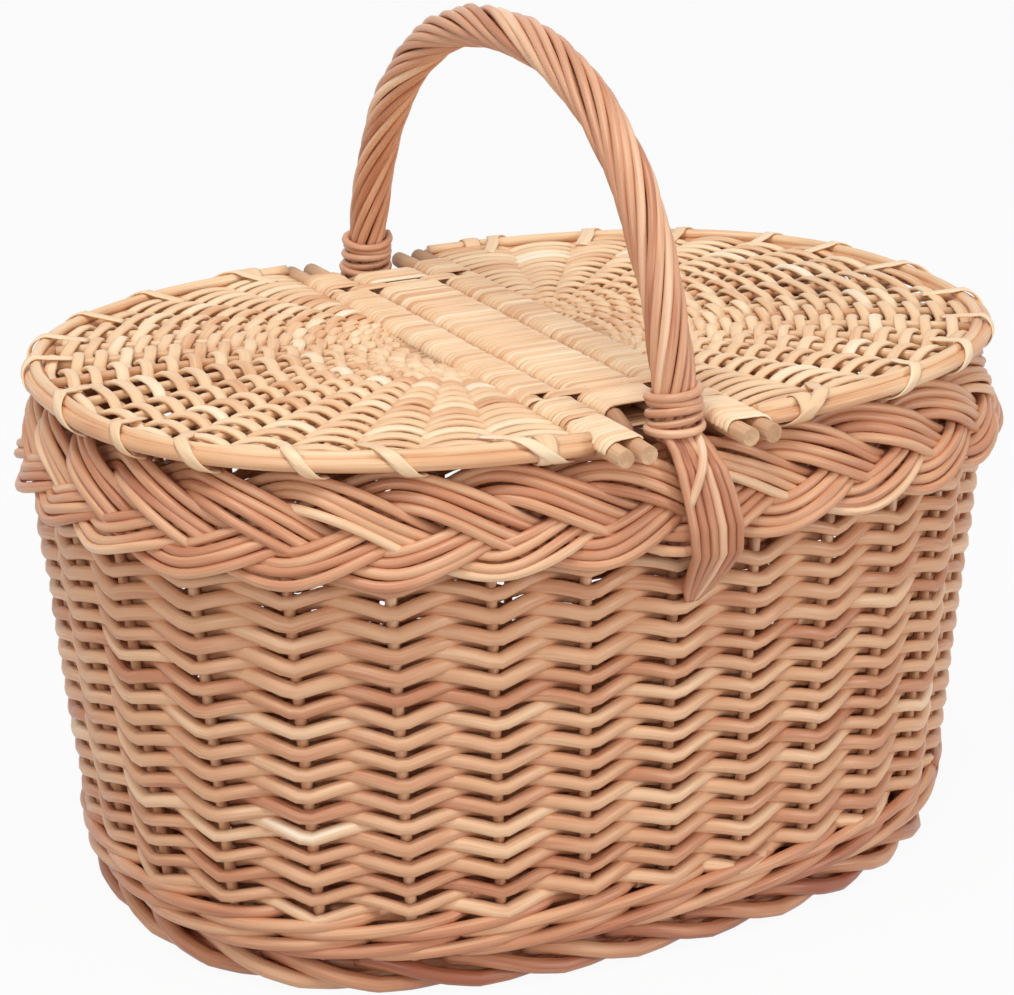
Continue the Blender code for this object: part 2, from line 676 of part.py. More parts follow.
def make_bridge(material, stick_material):
    """Two sticks in a band of flat skeins, their ends tucked under the border's inner strand."""
    ridges = BRIDGE_RIDGES
    half = ROLL_HALF_HEIGHT
    shape_top = []
    for k in range(2 * ridges + 1):
        y = -BRIDGE_FRONT + (BRIDGE_FRONT + BRIDGE_BACK) * k / (2 * ridges)
        shape_top.append((y, half - (BRIDGE_RIDGE if k % 2 == 0 else 0.0)))
    outline = shape_top + [(BRIDGE_BACK, -half), (-BRIDGE_FRONT, -half)]
    low_x = BRIDGE_X - BRIDGE_HALF_WIDTH
    high_x = BRIDGE_X + BRIDGE_HALF_WIDTH
    rings = [[Vector((x, y, DECK_Z + z)) for y, z in outline] for x in (low_x, high_x)]
    band = loft("bridge_band", rings, material)

    tuck_y = BORDER_HALF_WIDTH - BRIDGE_TUCK_IN_SHARE * BORDER_REACH
    tuck_z = BORDER_Z - BRIDGE_TUCK_DOWN_SHARE * BORDER_RISE
    half_path = [(BRIDGE_STICK_RUN + (tuck_y - BRIDGE_STICK_RUN) * out, DECK_Z + (tuck_z - DECK_Z) * down)
                 for out, down in BRIDGE_TUCK_SHARES]
    for name, side in (("left", -1.0), ("right", 1.0)):
        x = BRIDGE_X + side * BRIDGE_STICK_OFFSET
        points = [Vector((x, -y, z)) for y, z in reversed(half_path)]
        points += [Vector((x, y, z)) for y, z in half_path]
        rod(f"bridge_stick_{name}", points, STICK_RADIUS, stick_material, sides=8)
        low = (x, -BRIDGE_FRONT - OVERRUN, DECK_Z)
        high = (x, BRIDGE_BACK + OVERRUN, DECK_Z)
        combine(band, cutter(f"bridge_bore_{name}", bore(low, high, STICK_RADIUS + CLEARANCE)), "DIFFERENCE")
        for place, y in (("front", -LOOP_PLACE), ("back", LOOP_PLACE)):
            near = BRIDGE_X + side * (BRIDGE_STICK_OFFSET - STICK_RADIUS - LOOP_THICKNESS - 3 * CLEARANCE)
            far = BRIDGE_X + side * (BRIDGE_HALF_WIDTH + OVERRUN)
            room = LOOP_WIDTH / 2 + CLEARANCE
            low = (min(near, far), y - room, DECK_Z - half - OVERRUN)
            high = (max(near, far), y + room, DECK_Z + half + OVERRUN)
            combine(band, cutter(f"bridge_notch_{name}_{place}", block(low, high)), "DIFFERENCE")


def make_loop(name, side, y, material):
    """A loop of skein round the bridge's stick and the lid's inner stick."""
    near = BRIDGE_X + side * BRIDGE_STICK_OFFSET
    far = BRIDGE_X + side * HINGE_OFFSET
    inner = STICK_RADIUS + CLEARANCE
    outer = inner + LOOP_THICKNESS
    route = []
    for centre, start in ((far, -90.0), (near, 90.0)):
        for k in range(LOOP_ARC_STEPS + 1):
            angle = math.radians(start + 180.0 * k / LOOP_ARC_STEPS)
            route.append((centre, side * math.cos(angle), math.sin(angle)))
    rings = []
    for centre, out, up in route:
        ring = []
        for radius, edge in ((inner, -1), (outer, -1), (outer, 1), (inner, 1)):
            reach = radius * LOOP_CORNERS
            ring.append(Vector((centre + out * reach, y + edge * LOOP_WIDTH / 2, DECK_Z + up * reach)))
        rings.append(ring)
    loft(name, rings, material, cyclic=True)


def hang(piece, hinge):
    """Let a piece turn with an empty on its hinge's axis, without moving it."""
    piece.parent = hinge
    piece.matrix_parent_inverse = Matrix.Translation(-hinge.location)


def make_lid(name, side, material, stick_material):
    """A lid: two sticks in a wrapped roll, a hoop and the fan of weaving between them."""
    hinge_x = BRIDGE_X + side * HINGE_OFFSET
    hinge = bpy.data.objects.new(f"{name}_hinge", None)
    hinge.location = (hinge_x, 0.0, DECK_Z)
    bpy.context.scene.collection.objects.link(hinge)
    outer_x = hinge_x + side * STICK_SPACING
    for label, x in (("inner", hinge_x), ("outer", outer_x)):
        ends = [Vector((x, -LID_STICK_FRONT, DECK_Z)), Vector((x, LID_STICK_BACK, DECK_Z))]
        hang(rod(f"{name}_{label}_stick", ends, STICK_RADIUS, stick_material, sides=8), hinge)

    start_x = BRIDGE_X + side * HOOP_START
    start = angle_at(side * start_x, HOOP_HALF_LENGTH, True)
    end = angle_at(side * start_x, HOOP_HALF_LENGTH, False)
    points = []
    for k in range(LID_FAN + 1):
        point = oval(start + (end - start) * k / LID_FAN, HOOP_HALF_LENGTH, HOOP_HALF_WIDTH)
        points.append(Vector((side * point.x, point.y, HOOP_Z)))
    hang(rod(f"{name}_hoop", points, HOOP_RADIUS, material), hinge)

    inner_length = HOOP_HALF_LENGTH - HOOP_RADIUS - CLEARANCE
    inner_width = HOOP_HALF_WIDTH - HOOP_RADIUS - CLEARANCE
    fan_x = outer_x + side * SKEIN
    start = angle_at(side * start_x, inner_length, True)
    end = angle_at(side * start_x, inner_length, False)
    shape = bmesh.new()
    rows = []
    heart = LID_HEART / inner_width
    for row in range(LID_ROWS + 1):
        share = heart + (1.0 - heart) * row / LID_ROWS
        ring = []
        for k in range(LID_FAN + 1):
            edge = oval(start + (end - start) * k / LID_FAN, inner_length, inner_width)
            edge = Vector((side * edge.x, edge.y, 0.0))
            point = Vector((start_x, 0.0, 0.0)).lerp(edge, share)
            if k in (0, LID_FAN):
                point.x = fan_x
            swell = LID_CROWN * 4 * share * (1 - share) * math.sin(math.pi * k / LID_FAN)
            inside = 0 < row < LID_ROWS and 0 < k < LID_FAN
            relief = LID_RELIEF * (1 if (row + k) % 2 else -1) if inside else 0.0
            point.z = DECK_Z + swell + relief
            ring.append(shape.verts.new(point))
        rows.append(ring)
    shape.faces.new(rows[0])
    for here, after in zip(rows, rows[1:]):
        for k in range(LID_FAN):
            shape.faces.new((here[k], here[k + 1], after[k + 1], after[k]))
    bmesh.ops.recalc_face_normals(shape, faces=shape.faces)
    mesh = bpy.data.meshes.new(f"{name}_weave")
    shape.to_mesh(mesh)
    shape.free()
    weave = link(f"{name}_weave", mesh, material)
    thicken = weave.modifiers.new("thickness", "SOLIDIFY")
    thicken.thickness = LID_THICKNESS
    thicken.offset = 0.0
    hang(weave, hinge)

    near = min(hinge_x, outer_x)
    far = max(hinge_x, outer_x)
    corner = ROLL_HALF_HEIGHT * math.sin(math.radians(45.0))
    outline = [(near, -1), (far, -1), (far, 1), (near, 1)]
    section = []
    for x, up in outline:
        out = -1.0 if x == near else 1.0
        level = Vector((x + out * ROLL_HALF_HEIGHT, 0.0, DECK_Z + up * ROLL_HALF_HEIGHT / 3))
        bent = Vector((x + out * corner, 0.0, DECK_Z + up * corner))
        upright = Vector((x, 0.0, DECK_Z + up * ROLL_HALF_HEIGHT))
        order = [level, bent, upright]
        section += order if (x == near) == (up < 0) else order[::-1]
    rings = [[p + Vector((0.0, y, 0.0)) for p in section] for y in (-LID_ROLL_HALF_RUN, LID_ROLL_HALF_RUN)]
    combine(weave, cutter(f"{name}_roll", lambda label: loft(label, rings, None)), "UNION")
    for label, x in (("inner", hinge_x), ("outer", outer_x)):
        low = (x, -LID_STICK_FRONT, DECK_Z)
        high = (x, LID_STICK_FRONT, DECK_Z)
        combine(weave, cutter(f"{name}_bore_{label}", bore(low, high, STICK_RADIUS + CLEARANCE)), "DIFFERENCE")
    for place, y in (("front", -LOOP_PLACE), ("back", LOOP_PLACE)):
        room = LOOP_WIDTH / 2 + LOOP_SIDE_ROOM
        edge = hinge_x - side * (ROLL_HALF_HEIGHT + OVERRUN)
        deep = outer_x
        low = (min(edge, deep), y - room, DECK_Z - ROLL_HALF_HEIGHT - OVERRUN)
        high = (max(edge, deep), y + room, DECK_Z + ROLL_HALF_HEIGHT + OVERRUN)
        combine(weave, cutter(f"{name}_notch_{place}", block(low, high)), "DIFFERENCE")
        make_loop(f"{name}_hinge_loop_{place}", side, y, material)


def main():
    clear_scene()
    buff = willow("buff_willow", BUFF)
    pale = willow("pale_skein", PALE, 0.5)
    brown = willow("brown_willow", BROWN)
    sticks = willow("peeled_stick", STICK_BROWN, 0.6)
    make_foot(buff)
    make_base(buff, sticks)
    make_wall(buff)
    make_border(brown)
    make_bridge(pale, sticks)
    make_lid("left_lid", -1.0, pale, sticks)
    make_lid("right_lid", 1.0, pale, sticks)
    make_handle(sticks, brown)
    print(f"border top {BORDER_TOP:.4f} m, deck {DECK_Z:.4f} m, wall top {WALL_TOP:.4f} m")


main()
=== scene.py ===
# %% [markdown]
# An oval willow picnic basket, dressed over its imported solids.
# Every rod of a real basket is one long thin thing with its own colour, so this file models rods,
# not surfaces: a rod is a path with a thickness, and each piece is a handful or some hundreds of them.

# %% Load the fixed frame
import math
import random

import bmesh
import bpy
import numpy as np
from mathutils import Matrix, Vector


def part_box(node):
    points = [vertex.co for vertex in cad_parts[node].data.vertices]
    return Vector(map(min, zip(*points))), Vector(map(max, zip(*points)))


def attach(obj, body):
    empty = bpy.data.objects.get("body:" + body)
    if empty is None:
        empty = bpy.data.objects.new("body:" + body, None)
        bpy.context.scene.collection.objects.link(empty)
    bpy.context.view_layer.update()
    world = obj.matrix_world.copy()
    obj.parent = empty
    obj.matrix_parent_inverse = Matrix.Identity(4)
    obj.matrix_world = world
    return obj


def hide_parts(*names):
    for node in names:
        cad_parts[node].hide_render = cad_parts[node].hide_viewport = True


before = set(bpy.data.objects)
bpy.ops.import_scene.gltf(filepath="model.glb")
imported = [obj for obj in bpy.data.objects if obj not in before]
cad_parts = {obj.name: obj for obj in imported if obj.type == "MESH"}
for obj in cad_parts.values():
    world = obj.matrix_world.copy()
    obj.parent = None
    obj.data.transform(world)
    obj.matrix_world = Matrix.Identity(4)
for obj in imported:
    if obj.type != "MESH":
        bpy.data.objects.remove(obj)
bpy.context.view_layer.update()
scene = bpy.context.scene
scene.view_settings.view_transform = "Standard"
UP = Vector((0.0, 0.0, 1.0))

# %% [markdown]
# The camera stands where the photographer stood: low over the left front of the basket. A long lens
# keeps the far rim nearly as wide as the near one. The picture is 1014 pixels wide.

# %% Camera
PICTURE_WIDTH = 1014
FOCAL_PIXELS = 2826.6
SENSOR_WIDTH = 36.0
LOOK_AT = Vector((-0.0066, 0.0, 0.1657))
LOOK_DISTANCE = 1.3
CAMERA_TURN, CAMERA_TIP = math.radians(-28.3786), math.radians(19.4802)
look = Vector((-math.sin(CAMERA_TURN) * math.cos(CAMERA_TIP),
               math.cos(CAMERA_TURN) * math.cos(CAMERA_TIP), -math.sin(CAMERA_TIP)))
camera_data = bpy.data.cameras.new("camera")
camera_data.sensor_fit = "HORIZONTAL"
camera_data.sensor_width = SENSOR_WIDTH
camera_data.lens = SENSOR_WIDTH * FOCAL_PIXELS / PICTURE_WIDTH
camera_data.clip_start = 0.05
camera = bpy.data.objects.new("camera", camera_data)
camera.location = LOOK_AT - look * LOOK_DISTANCE
camera.rotation_euler = look.to_track_quat("-Z", "Y").to_euler()
scene.collection.objects.link(camera)
scene.camera = camera
print("camera at", [round(v, 4) for v in camera.location], "lens", round(camera_data.lens, 2))

# %% [markdown]
# A white shop background is made by the floor and the world, not by more light on the willow.
# The floor is plain matt grey and keeps the soft shadow; a glow that only the camera and
# reflections see lifts it nearly to white, so the lamps can stay at a plain level.

# %% Floor
FLOOR_REACH = 6.0
FLOOR_GREY = 0.60
FLOOR_GLOW = 0.94


def math_node(tree, operation, first, second):
    """A Math node over two inputs, each a socket or a number."""
    node = tree.nodes.new("ShaderNodeMath")
    node.operation = operation
    for place, value in enumerate((first, second)):
        if isinstance(value, (int, float)):
            node.inputs[place].default_value = value
        else:
            tree.links.new(value, node.inputs[place])
    return node.outputs[0]


def only_seen(tree):
    """A value of 1 where the camera, a reflection or a see-through ray looks, else 0."""
    rays = tree.nodes.new("ShaderNodeLightPath")
    either = math_node(tree, "MAXIMUM", rays.outputs["Is Camera Ray"], rays.outputs["Is Glossy Ray"])
    return math_node(tree, "MAXIMUM", either, rays.outputs["Is Transmission Ray"])


def mixed(tree, share, first, second):
    """A Mix Shader node between two shader nodes."""
    mix = tree.nodes.new("ShaderNodeMixShader")
    tree.links.new(share, mix.inputs[0])
    tree.links.new(first.outputs[0], mix.inputs[1])
    tree.links.new(second.outputs[0], mix.inputs[2])
    return mix.outputs[0]


def floor_finish():
    finish = bpy.data.materials.new("pale_floor")
    finish.use_nodes = True
    tree = finish.node_tree
    tree.nodes.clear()
    matt = tree.nodes.new("ShaderNodeBsdfDiffuse")
    matt.inputs["Color"].default_value = (FLOOR_GREY, FLOOR_GREY, FLOOR_GREY, 1.0)
    glow = tree.nodes.new("ShaderNodeEmission")
    glow.inputs["Strength"].default_value = 1.0
    share = math_node(tree, "MULTIPLY", only_seen(tree), FLOOR_GLOW)
    out = tree.nodes.new("ShaderNodeOutputMaterial")
    tree.links.new(mixed(tree, share, matt, glow), out.inputs["Surface"])
    return finish


floor_shape = bmesh.new()
bmesh.ops.create_grid(floor_shape, x_segments=1, y_segments=1, size=FLOOR_REACH)
floor_mesh = bpy.data.meshes.new("floor")
floor_shape.to_mesh(floor_mesh)
floor_shape.free()
floor_mesh.materials.append(floor_finish())
floor = bpy.data.objects.new("floor", floor_mesh)
scene.collection.objects.link(floor)
print("floor", 2 * FLOOR_REACH, "m wide")

# %% [markdown]
# The world is two plain backgrounds: a soft room that lights the willow from all round, and pure
# white for the camera. Three big soft lamps, above, left and right, give the rods their round look.

# %% World and lamps
ROOM_LIGHT = 0.45
LAMP_AIM = Vector((0.0, 0.0, 0.15))


def plain_background(tree, strength):
    background = tree.nodes.new("ShaderNodeBackground")
    background.inputs["Color"].default_value = (1.0, 1.0, 1.0, 1.0)
    background.inputs["Strength"].default_value = strength
    return background


world = bpy.data.worlds.new("studio")
world.use_nodes = True
scene.world = world
sky = world.node_tree
sky.nodes.clear()
sky_out = sky.nodes.new("ShaderNodeOutputWorld")
sky.links.new(mixed(sky, only_seen(sky), plain_background(sky, ROOM_LIGHT), plain_background(sky, 1.0)),
              sky_out.inputs["Surface"])


def soft_lamp(name, place, power, size):
    """A square of soft light that faces the middle of the basket."""
    data = bpy.data.lights.new(name, "AREA")
    data.energy = power
    data.size = size
    lamp = bpy.data.objects.new(name, data)
    lamp.location = place
    lamp.rotation_euler = (LAMP_AIM - Vector(place)).to_track_quat("-Z", "Y").to_euler()
    scene.collection.objects.link(lamp)


soft_lamp("lamp_above", (-0.5, -0.5, 2.0), power=19.0, size=0.8)
soft_lamp("lamp_left", (-1.7, -1.3, 1.0), power=8.0, size=0.6)
soft_lamp("lamp_right", (1.3, -2.0, 0.8), power=14.0, size=0.6)
print("world and three lamps")

# %% [markdown]
# Buff willow is willow boiled in its bark and then peeled: orange-tan, each rod a little different,
# some pale, some reddish, with fine fibres along it and a soft sheen. Each rod carries two
# attributes that its material reads: how light it is, and a coordinate that runs along and round it
# as if it were straightened out, so fibres follow every bend.

# %% Willow finishes
FIBRE_MARKS, PATCH_MARKS = (900.0, 26.0), (120.0, 17.0)
FIBRE_SHADE, PATCH_SHADE = 0.42, 0.75
FIBRE_STRENGTH = 0.5
GLOSS_SPREAD = 0.12
SHEEN = 0.45


def linear(red, green, blue):
    """A colour picked by eye in a painting program, as linear light."""
    return tuple(((c / 255) / 12.92 if c <= 10 else ((c / 255 + 0.055) / 1.055) ** 2.4)
                 for c in (red, green, blue)) + (1.0,)


def stretched_noise(tree, vector, marks, detail):
    """Noise drawn out along the rod; marks is how many a metre holds, round it and along it."""
    stretch = tree.nodes.new("ShaderNodeMapping")
    stretch.inputs["Scale"].default_value = (marks[0], marks[0], marks[1])
    tree.links.new(vector, stretch.inputs["Vector"])
    noise = tree.nodes.new("ShaderNodeTexNoise")
    noise.inputs["Scale"].default_value = 1.0
    noise.inputs["Detail"].default_value = detail
    tree.links.new(stretch.outputs["Vector"], noise.inputs["Vector"])
    return noise.outputs["Fac"]


def attribute(tree, name):
    node = tree.nodes.new("ShaderNodeAttribute")
    node.attribute_name = name
    return node


def shade_of(tree, fibres, patches):
    """The rod's own tone, with the fibres and the wider patches added about it."""
    fine = math_node(tree, "MULTIPLY", math_node(tree, "SUBTRACT", fibres, 0.5), FIBRE_SHADE)
    wide = math_node(tree, "MULTIPLY", math_node(tree, "SUBTRACT", patches, 0.5), PATCH_SHADE)
    both = math_node(tree, "ADD", fine, wide)
    return math_node(tree, "ADD", both, attribute(tree, "tone").outputs["Fac"])


def willow_finish(name, shades, roughness, fibre_depth):
    """Willow whose colour runs through shades, from the darkest rod to the palest."""
    finish = bpy.data.materials.new(name)
    finish.use_nodes = True
    tree = finish.node_tree
    shader = tree.nodes["Principled BSDF"]
    straightened = attribute(tree, "stick").outputs["Vector"]
    fibres = stretched_noise(tree, straightened, FIBRE_MARKS, 3.0)
    patches = stretched_noise(tree, straightened, PATCH_MARKS, 2.0)
    ramp = tree.nodes.new("ShaderNodeValToRGB")
    ramp.color_ramp.interpolation = "EASE"
    places = ramp.color_ramp.elements
    while len(places) < len(shades):
        places.new(0.5)
    for index, (place, colour) in enumerate(shades):
        places[index].position = place
        places[index].color = linear(*colour)
    tree.links.new(shade_of(tree, fibres, patches), ramp.inputs["Fac"])
    tree.links.new(ramp.outputs["Color"], shader.inputs["Base Color"])
    gloss = tree.nodes.new("ShaderNodeMapRange")
    gloss.inputs["To Min"].default_value = roughness - GLOSS_SPREAD
    gloss.inputs["To Max"].default_value = roughness + GLOSS_SPREAD
    tree.links.new(patches, gloss.inputs["Value"])
    tree.links.new(gloss.outputs["Result"], shader.inputs["Roughness"])
    shader.inputs["Specular IOR Level"].default_value = SHEEN
    raised = tree.nodes.new("ShaderNodeBump")
    raised.inputs["Strength"].default_value = FIBRE_STRENGTH
    raised.inputs["Distance"].default_value = fibre_depth
    tree.links.new(fibres, raised.inputs["Height"])
    tree.links.new(raised.outputs["Normal"], shader.inputs["Normal"])
    return finish


BUFF = willow_finish("buff_willow", [
    (0.0, (168, 98, 70)), (0.25, (204, 140, 104)), (0.50, (225, 172, 132)),
    (0.75, (242, 200, 160)), (1.0, (254, 234, 208))], roughness=0.38, fibre_depth=0.0004)
PALE = willow_finish("pale_skein", [
    (0.0, (190, 126, 88)), (0.25, (224, 170, 126)), (0.50, (241, 202, 160)),
    (0.75, (250, 220, 182)), (1.0, (255, 240, 216))], roughness=0.40, fibre_depth=0.0003)
BROWN = willow_finish("brown_willow", [
    (0.0, (150, 88, 64)), (0.25, (192, 128, 94)), (0.50, (216, 160, 124)),
    (0.75, (234, 186, 150)), (1.0, (250, 216, 182))], roughness=0.36, fibre_depth=0.0004)
STICK_WOOD = willow_finish("peeled_stick", [
    (0.0, (126, 82, 62)), (0.35, (172, 122, 92)), (0.65, (202, 156, 118)),
    (1.0, (230, 190, 148))], roughness=0.58, fibre_depth=0.0005)
print("four willow finishes")

# %% [markdown]
# A rod could be a tube built point by point, but Blender's curves already sweep a round bevel along
# a path and taper it. Each piece is one curve with a spline for every rod, turned into a mesh.

# %% Sweep rods into a mesh
def rod(path, thick, tone, lie=None, flat=1.0, closed=False):
    """One rod: its path, its thickness or one for each point, how pale it is, and how it lies flat."""
    thick = thick if isinstance(thick, list) else [thick] * len(path)
    return {"path": path, "thick": thick, "tone": tone, "lie": lie, "flat": flat, "closed": closed}


def swept_mesh(name, rods, sides):
    """One mesh of round rods; a curve's bevel of resolution r has 4 + 2 r sides."""
    curve = bpy.data.curves.new(name, "CURVE")
    curve.dimensions = "3D"
    curve.bevel_depth = 1.0
    curve.bevel_resolution = sides // 2 - 2
    for one in rods:
        spline = curve.splines.new("POLY")
        spline.points.add(len(one["path"]) - 1)
        spline.points.foreach_set("co", [v for point in one["path"] for v in (*point, 1.0)])
        spline.points.foreach_set("radius", [t / 2 for t in one["thick"]])
        spline.use_cyclic_u = one["closed"]
    swept = bpy.data.objects.new(name + "_sweep", curve)
    scene.collection.objects.link(swept)
    mesh = bpy.data.meshes.new_from_object(swept)
    bpy.data.objects.remove(swept)
    bpy.data.curves.remove(curve)
    mesh.name = name
    return mesh


def close_ends(mesh, sides):
    """Put a flat face on each open end, as a cut rod has."""
    shape = bmesh.new()
    shape.from_mesh(mesh)
    ends = [edge for edge in shape.edges if edge.is_boundary]
    for face in bmesh.ops.holes_fill(shape, edges=ends, sides=sides)["faces"]:
        face.smooth = False
    shape.to_mesh(mesh)
    shape.free()


# %% [markdown]
# The swept rings come out in order, so each can be given its colour, its own straightened
# coordinate, and be pressed flat towards the surface it lies on, as a split skein or a soaked
# weaver is. The piece then rides on its body and stands for the CAD nodes that it shows.

# %% Flatten, colour and place rods
FIBRE_ROOM = 40.0
random_rods = random.Random(41)


def lengths_along(points):
    """How far along each point of a path lies."""
    return np.concatenate([[0.0], np.cumsum(np.linalg.norm(np.diff(points, axis=0), axis=1))])


def dress_rings(mesh, rods, sides):
    """Press the rings flat where a rod asks for it, and write each rod's tone and straight coordinate."""
    places = np.empty(len(mesh.vertices) * 3, np.float32)
    mesh.vertices.foreach_get("co", places)
    places = places.reshape(-1, sides, 3)
    tones = np.empty(places.shape[:2], np.float32)
    straight = np.empty(places.shape, np.float32)
    around = np.arange(sides) * 2 * math.pi / sides
    start = 0
    for one in rods:
        path = np.array([tuple(p) for p in one["path"]], np.float32)
        end = start + len(path)
        if one["flat"] < 1.0:
            lie = np.array([tuple(n) for n in one["lie"]], np.float32)
            spread = places[start:end] - path[:, None, :]
            lift = np.einsum("psk,pk->ps", spread, lie)
            places[start:end] -= lie[:, None, :] * (lift * (1.0 - one["flat"]))[:, :, None]
        radius = max(one["thick"]) / 2
        own = [random_rods.uniform(0.0, FIBRE_ROOM) for _ in range(3)]
        straight[start:end, :, 0] = own[0] + np.cos(around) * radius
        straight[start:end, :, 1] = own[1] + np.sin(around) * radius
        straight[start:end, :, 2] = own[2] + lengths_along(path)[:, None]
        tones[start:end] = one["tone"]
        start = end
    mesh.vertices.foreach_set("co", places.ravel())
    mesh.attributes.new("tone", "FLOAT", "POINT").data.foreach_set("value", tones.ravel())
    mesh.attributes.new("stick", "FLOAT_VECTOR", "POINT").data.foreach_set("vector", straight.ravel())


def lay_rods(name, rods, finish, body, nodes=(), sides=8):
    """Sweep rods into one piece that rides on a body and stands for CAD nodes."""
    mesh = swept_mesh(name, rods, sides)
    dress_rings(mesh, rods, sides)
    close_ends(mesh, sides)
    mesh.materials.clear()
    mesh.materials.append(finish)
    piece = bpy.data.objects.new(name, mesh)
    scene.collection.objects.link(piece)
    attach(piece, body)
    if nodes:
        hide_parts(*nodes)
    print(f"{name}: {len(rods)} rods, {len(mesh.polygons)} faces")


# %% [markdown]
# The basket is an oval between a rectangle and an ellipse, a superellipse, wider at the rim than at
# the floor. Its angle doesn't grow evenly along it, so the way round is measured once, in two halves.

# %% The oval
BASE_HALF_LENGTH, BASE_HALF_WIDTH = 0.1950, 0.1415
TOP_HALF_LENGTH, TOP_HALF_WIDTH = 0.2150, 0.1465
OVAL_POWER = 2.45
OVAL_STEPS = 2400
HANDLE_X = -0.0070


def signed_power(value, power):
    return math.copysign(abs(value) ** power, value)


def oval(angle, half_length, half_width):
    """A point of the oval."""
    return Vector((half_length * signed_power(math.cos(angle), 2 / OVAL_POWER),
                   half_width * signed_power(math.sin(angle), 2 / OVAL_POWER), 0.0))


def oval_outward(point, half_length, half_width):
    """Straight out of the oval at a point on it."""
    return Vector((signed_power(point.x / half_length, OVAL_POWER - 1) / half_length,
                   signed_power(point.y / half_width, OVAL_POWER - 1) / half_width, 0.0)).normalized()


def angle_at(x, half_length, front):
    """The oval's angle where it passes x, on the front or the back."""
    angle = math.acos(signed_power(x / half_length, OVAL_POWER / 2))
    return -angle if front else angle


def walk_oval(half_length, half_width):
    """Angles and shares of the way along the two halves of the oval, cut at the bow's feet."""
    front = angle_at(HANDLE_X, half_length, True)
    back = angle_at(HANDLE_X, half_length, False)
    halves = []
    for start, end in ((front, back), (back, front + 2 * math.pi)):
        angles = np.linspace(start, end, OVAL_STEPS + 1)
        lengths = lengths_along(np.array([tuple(oval(a, half_length, half_width)) for a in angles]))
        halves.append((angles, lengths / lengths[-1]))
    return halves


HALVES = walk_oval(TOP_HALF_LENGTH, TOP_HALF_WIDTH)


def round_angle(share):
    """The oval's angle at a share of the way round; 0 and 0.5 are the bow's two feet."""
    share = share % 1.0
    angles, lengths = HALVES[0 if share < 0.5 else 1]
    return float(np.interp((share % 0.5) * 2, lengths, angles))


print("bow's front foot at", round(math.degrees(round_angle(0.0)), 1), "degrees")

# %% [markdown]
# Stakes stand at even shares of the way round, fourteen on the right of the bow and thirteen on the
# left, so that with the bow's own feet their number is odd and one spiral of weaving passes each
# stake on the other side every time round. Places in the wall are counted in stakes.

# %% Places round the wall
RIGHT_STAKES, LEFT_STAKES = 14, 13
RIGHT_SPACES, LEFT_SPACES = RIGHT_STAKES + 1, LEFT_STAKES + 1
STAKE_PLACES = RIGHT_STAKES + LEFT_STAKES + 2
FRONT_FOOT, BACK_FOOT = 0, RIGHT_SPACES
WALL_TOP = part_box("side_weave")[1].z
FOOT_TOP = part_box("foot_border")[1].z


def stake_share(place):
    """The share of the way round of a place counted in stakes; parts of a stake are allowed."""
    place = place % STAKE_PLACES
    if place <= RIGHT_SPACES:
        return 0.5 * place / RIGHT_SPACES
    return 0.5 + 0.5 * (place - RIGHT_SPACES) / LEFT_SPACES


def wall_place(place, z, offset=0.0):
    """A point in the wall at a place and height, moved outward."""
    rise = z / WALL_TOP
    half_length = BASE_HALF_LENGTH + (TOP_HALF_LENGTH - BASE_HALF_LENGTH) * rise
    half_width = BASE_HALF_WIDTH + (TOP_HALF_WIDTH - BASE_HALF_WIDTH) * rise
    point = oval(round_angle(stake_share(place)), half_length, half_width)
    point = point + oval_outward(point, half_length, half_width) * offset
    point.z = z
    return point


def wall_ring(count, z, inset):
    """A closed path of count points round the wall at a height, moved inward."""
    return [wall_place(STAKE_PLACES * k / count, z, -inset) for k in range(count)]


def rod_tone(pick, middle=0.50, spread=0.09):
    """Most rods are near the middle tone; a few are nearly white and a few are red."""
    chance = pick.random()
    if chance < 0.06:
        return middle + pick.uniform(0.22, 0.38)
    if chance < 0.14:
        return middle - pick.uniform(0.16, 0.26)
    return pick.gauss(middle, spread)


print("stakes round the oval", STAKE_PLACES, "wall top", round(WALL_TOP, 4))

# %% [markdown]
# The side is plain randing: one rod at a time goes in front of a stake and behind the next. Rods
# lie tight on each other where they cross between two stakes, and are bent down into a shallow V
# at every stake, which leaves the small dark gaps beside it. Each rod is about a metre long and has
# its own colour and taper, so the wall is cut from one spiral into rods that start and end inside.

# %% Side weave
WEAVE_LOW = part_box("side_weave")[0].z
ROW_PITCH = 0.00487
WEAVER = 0.0070
STAKE = 0.0050
WEAVE_REACH = (STAKE + WEAVER) / 2 - 0.0010
V_DEPTH, V_SHAPE, V_LEVEL = 0.0050, 0.9, 0.6
SPACE_STEPS = 8
WEAVER_TUCK = 0.35


def weave_point(step, low, rise, dip):
    """A point of the spiral that passes in front of even steps and behind odd ones."""
    part = step - math.floor(step)
    side = 1.0 if math.floor(step) % 2 == 0 else -1.0
    z = low + rise * step / STAKE_PLACES + dip * (math.sin(math.pi * part) ** V_SHAPE - V_LEVEL)
    return wall_place(step, z, side * WEAVE_REACH * math.cos(math.pi * part))


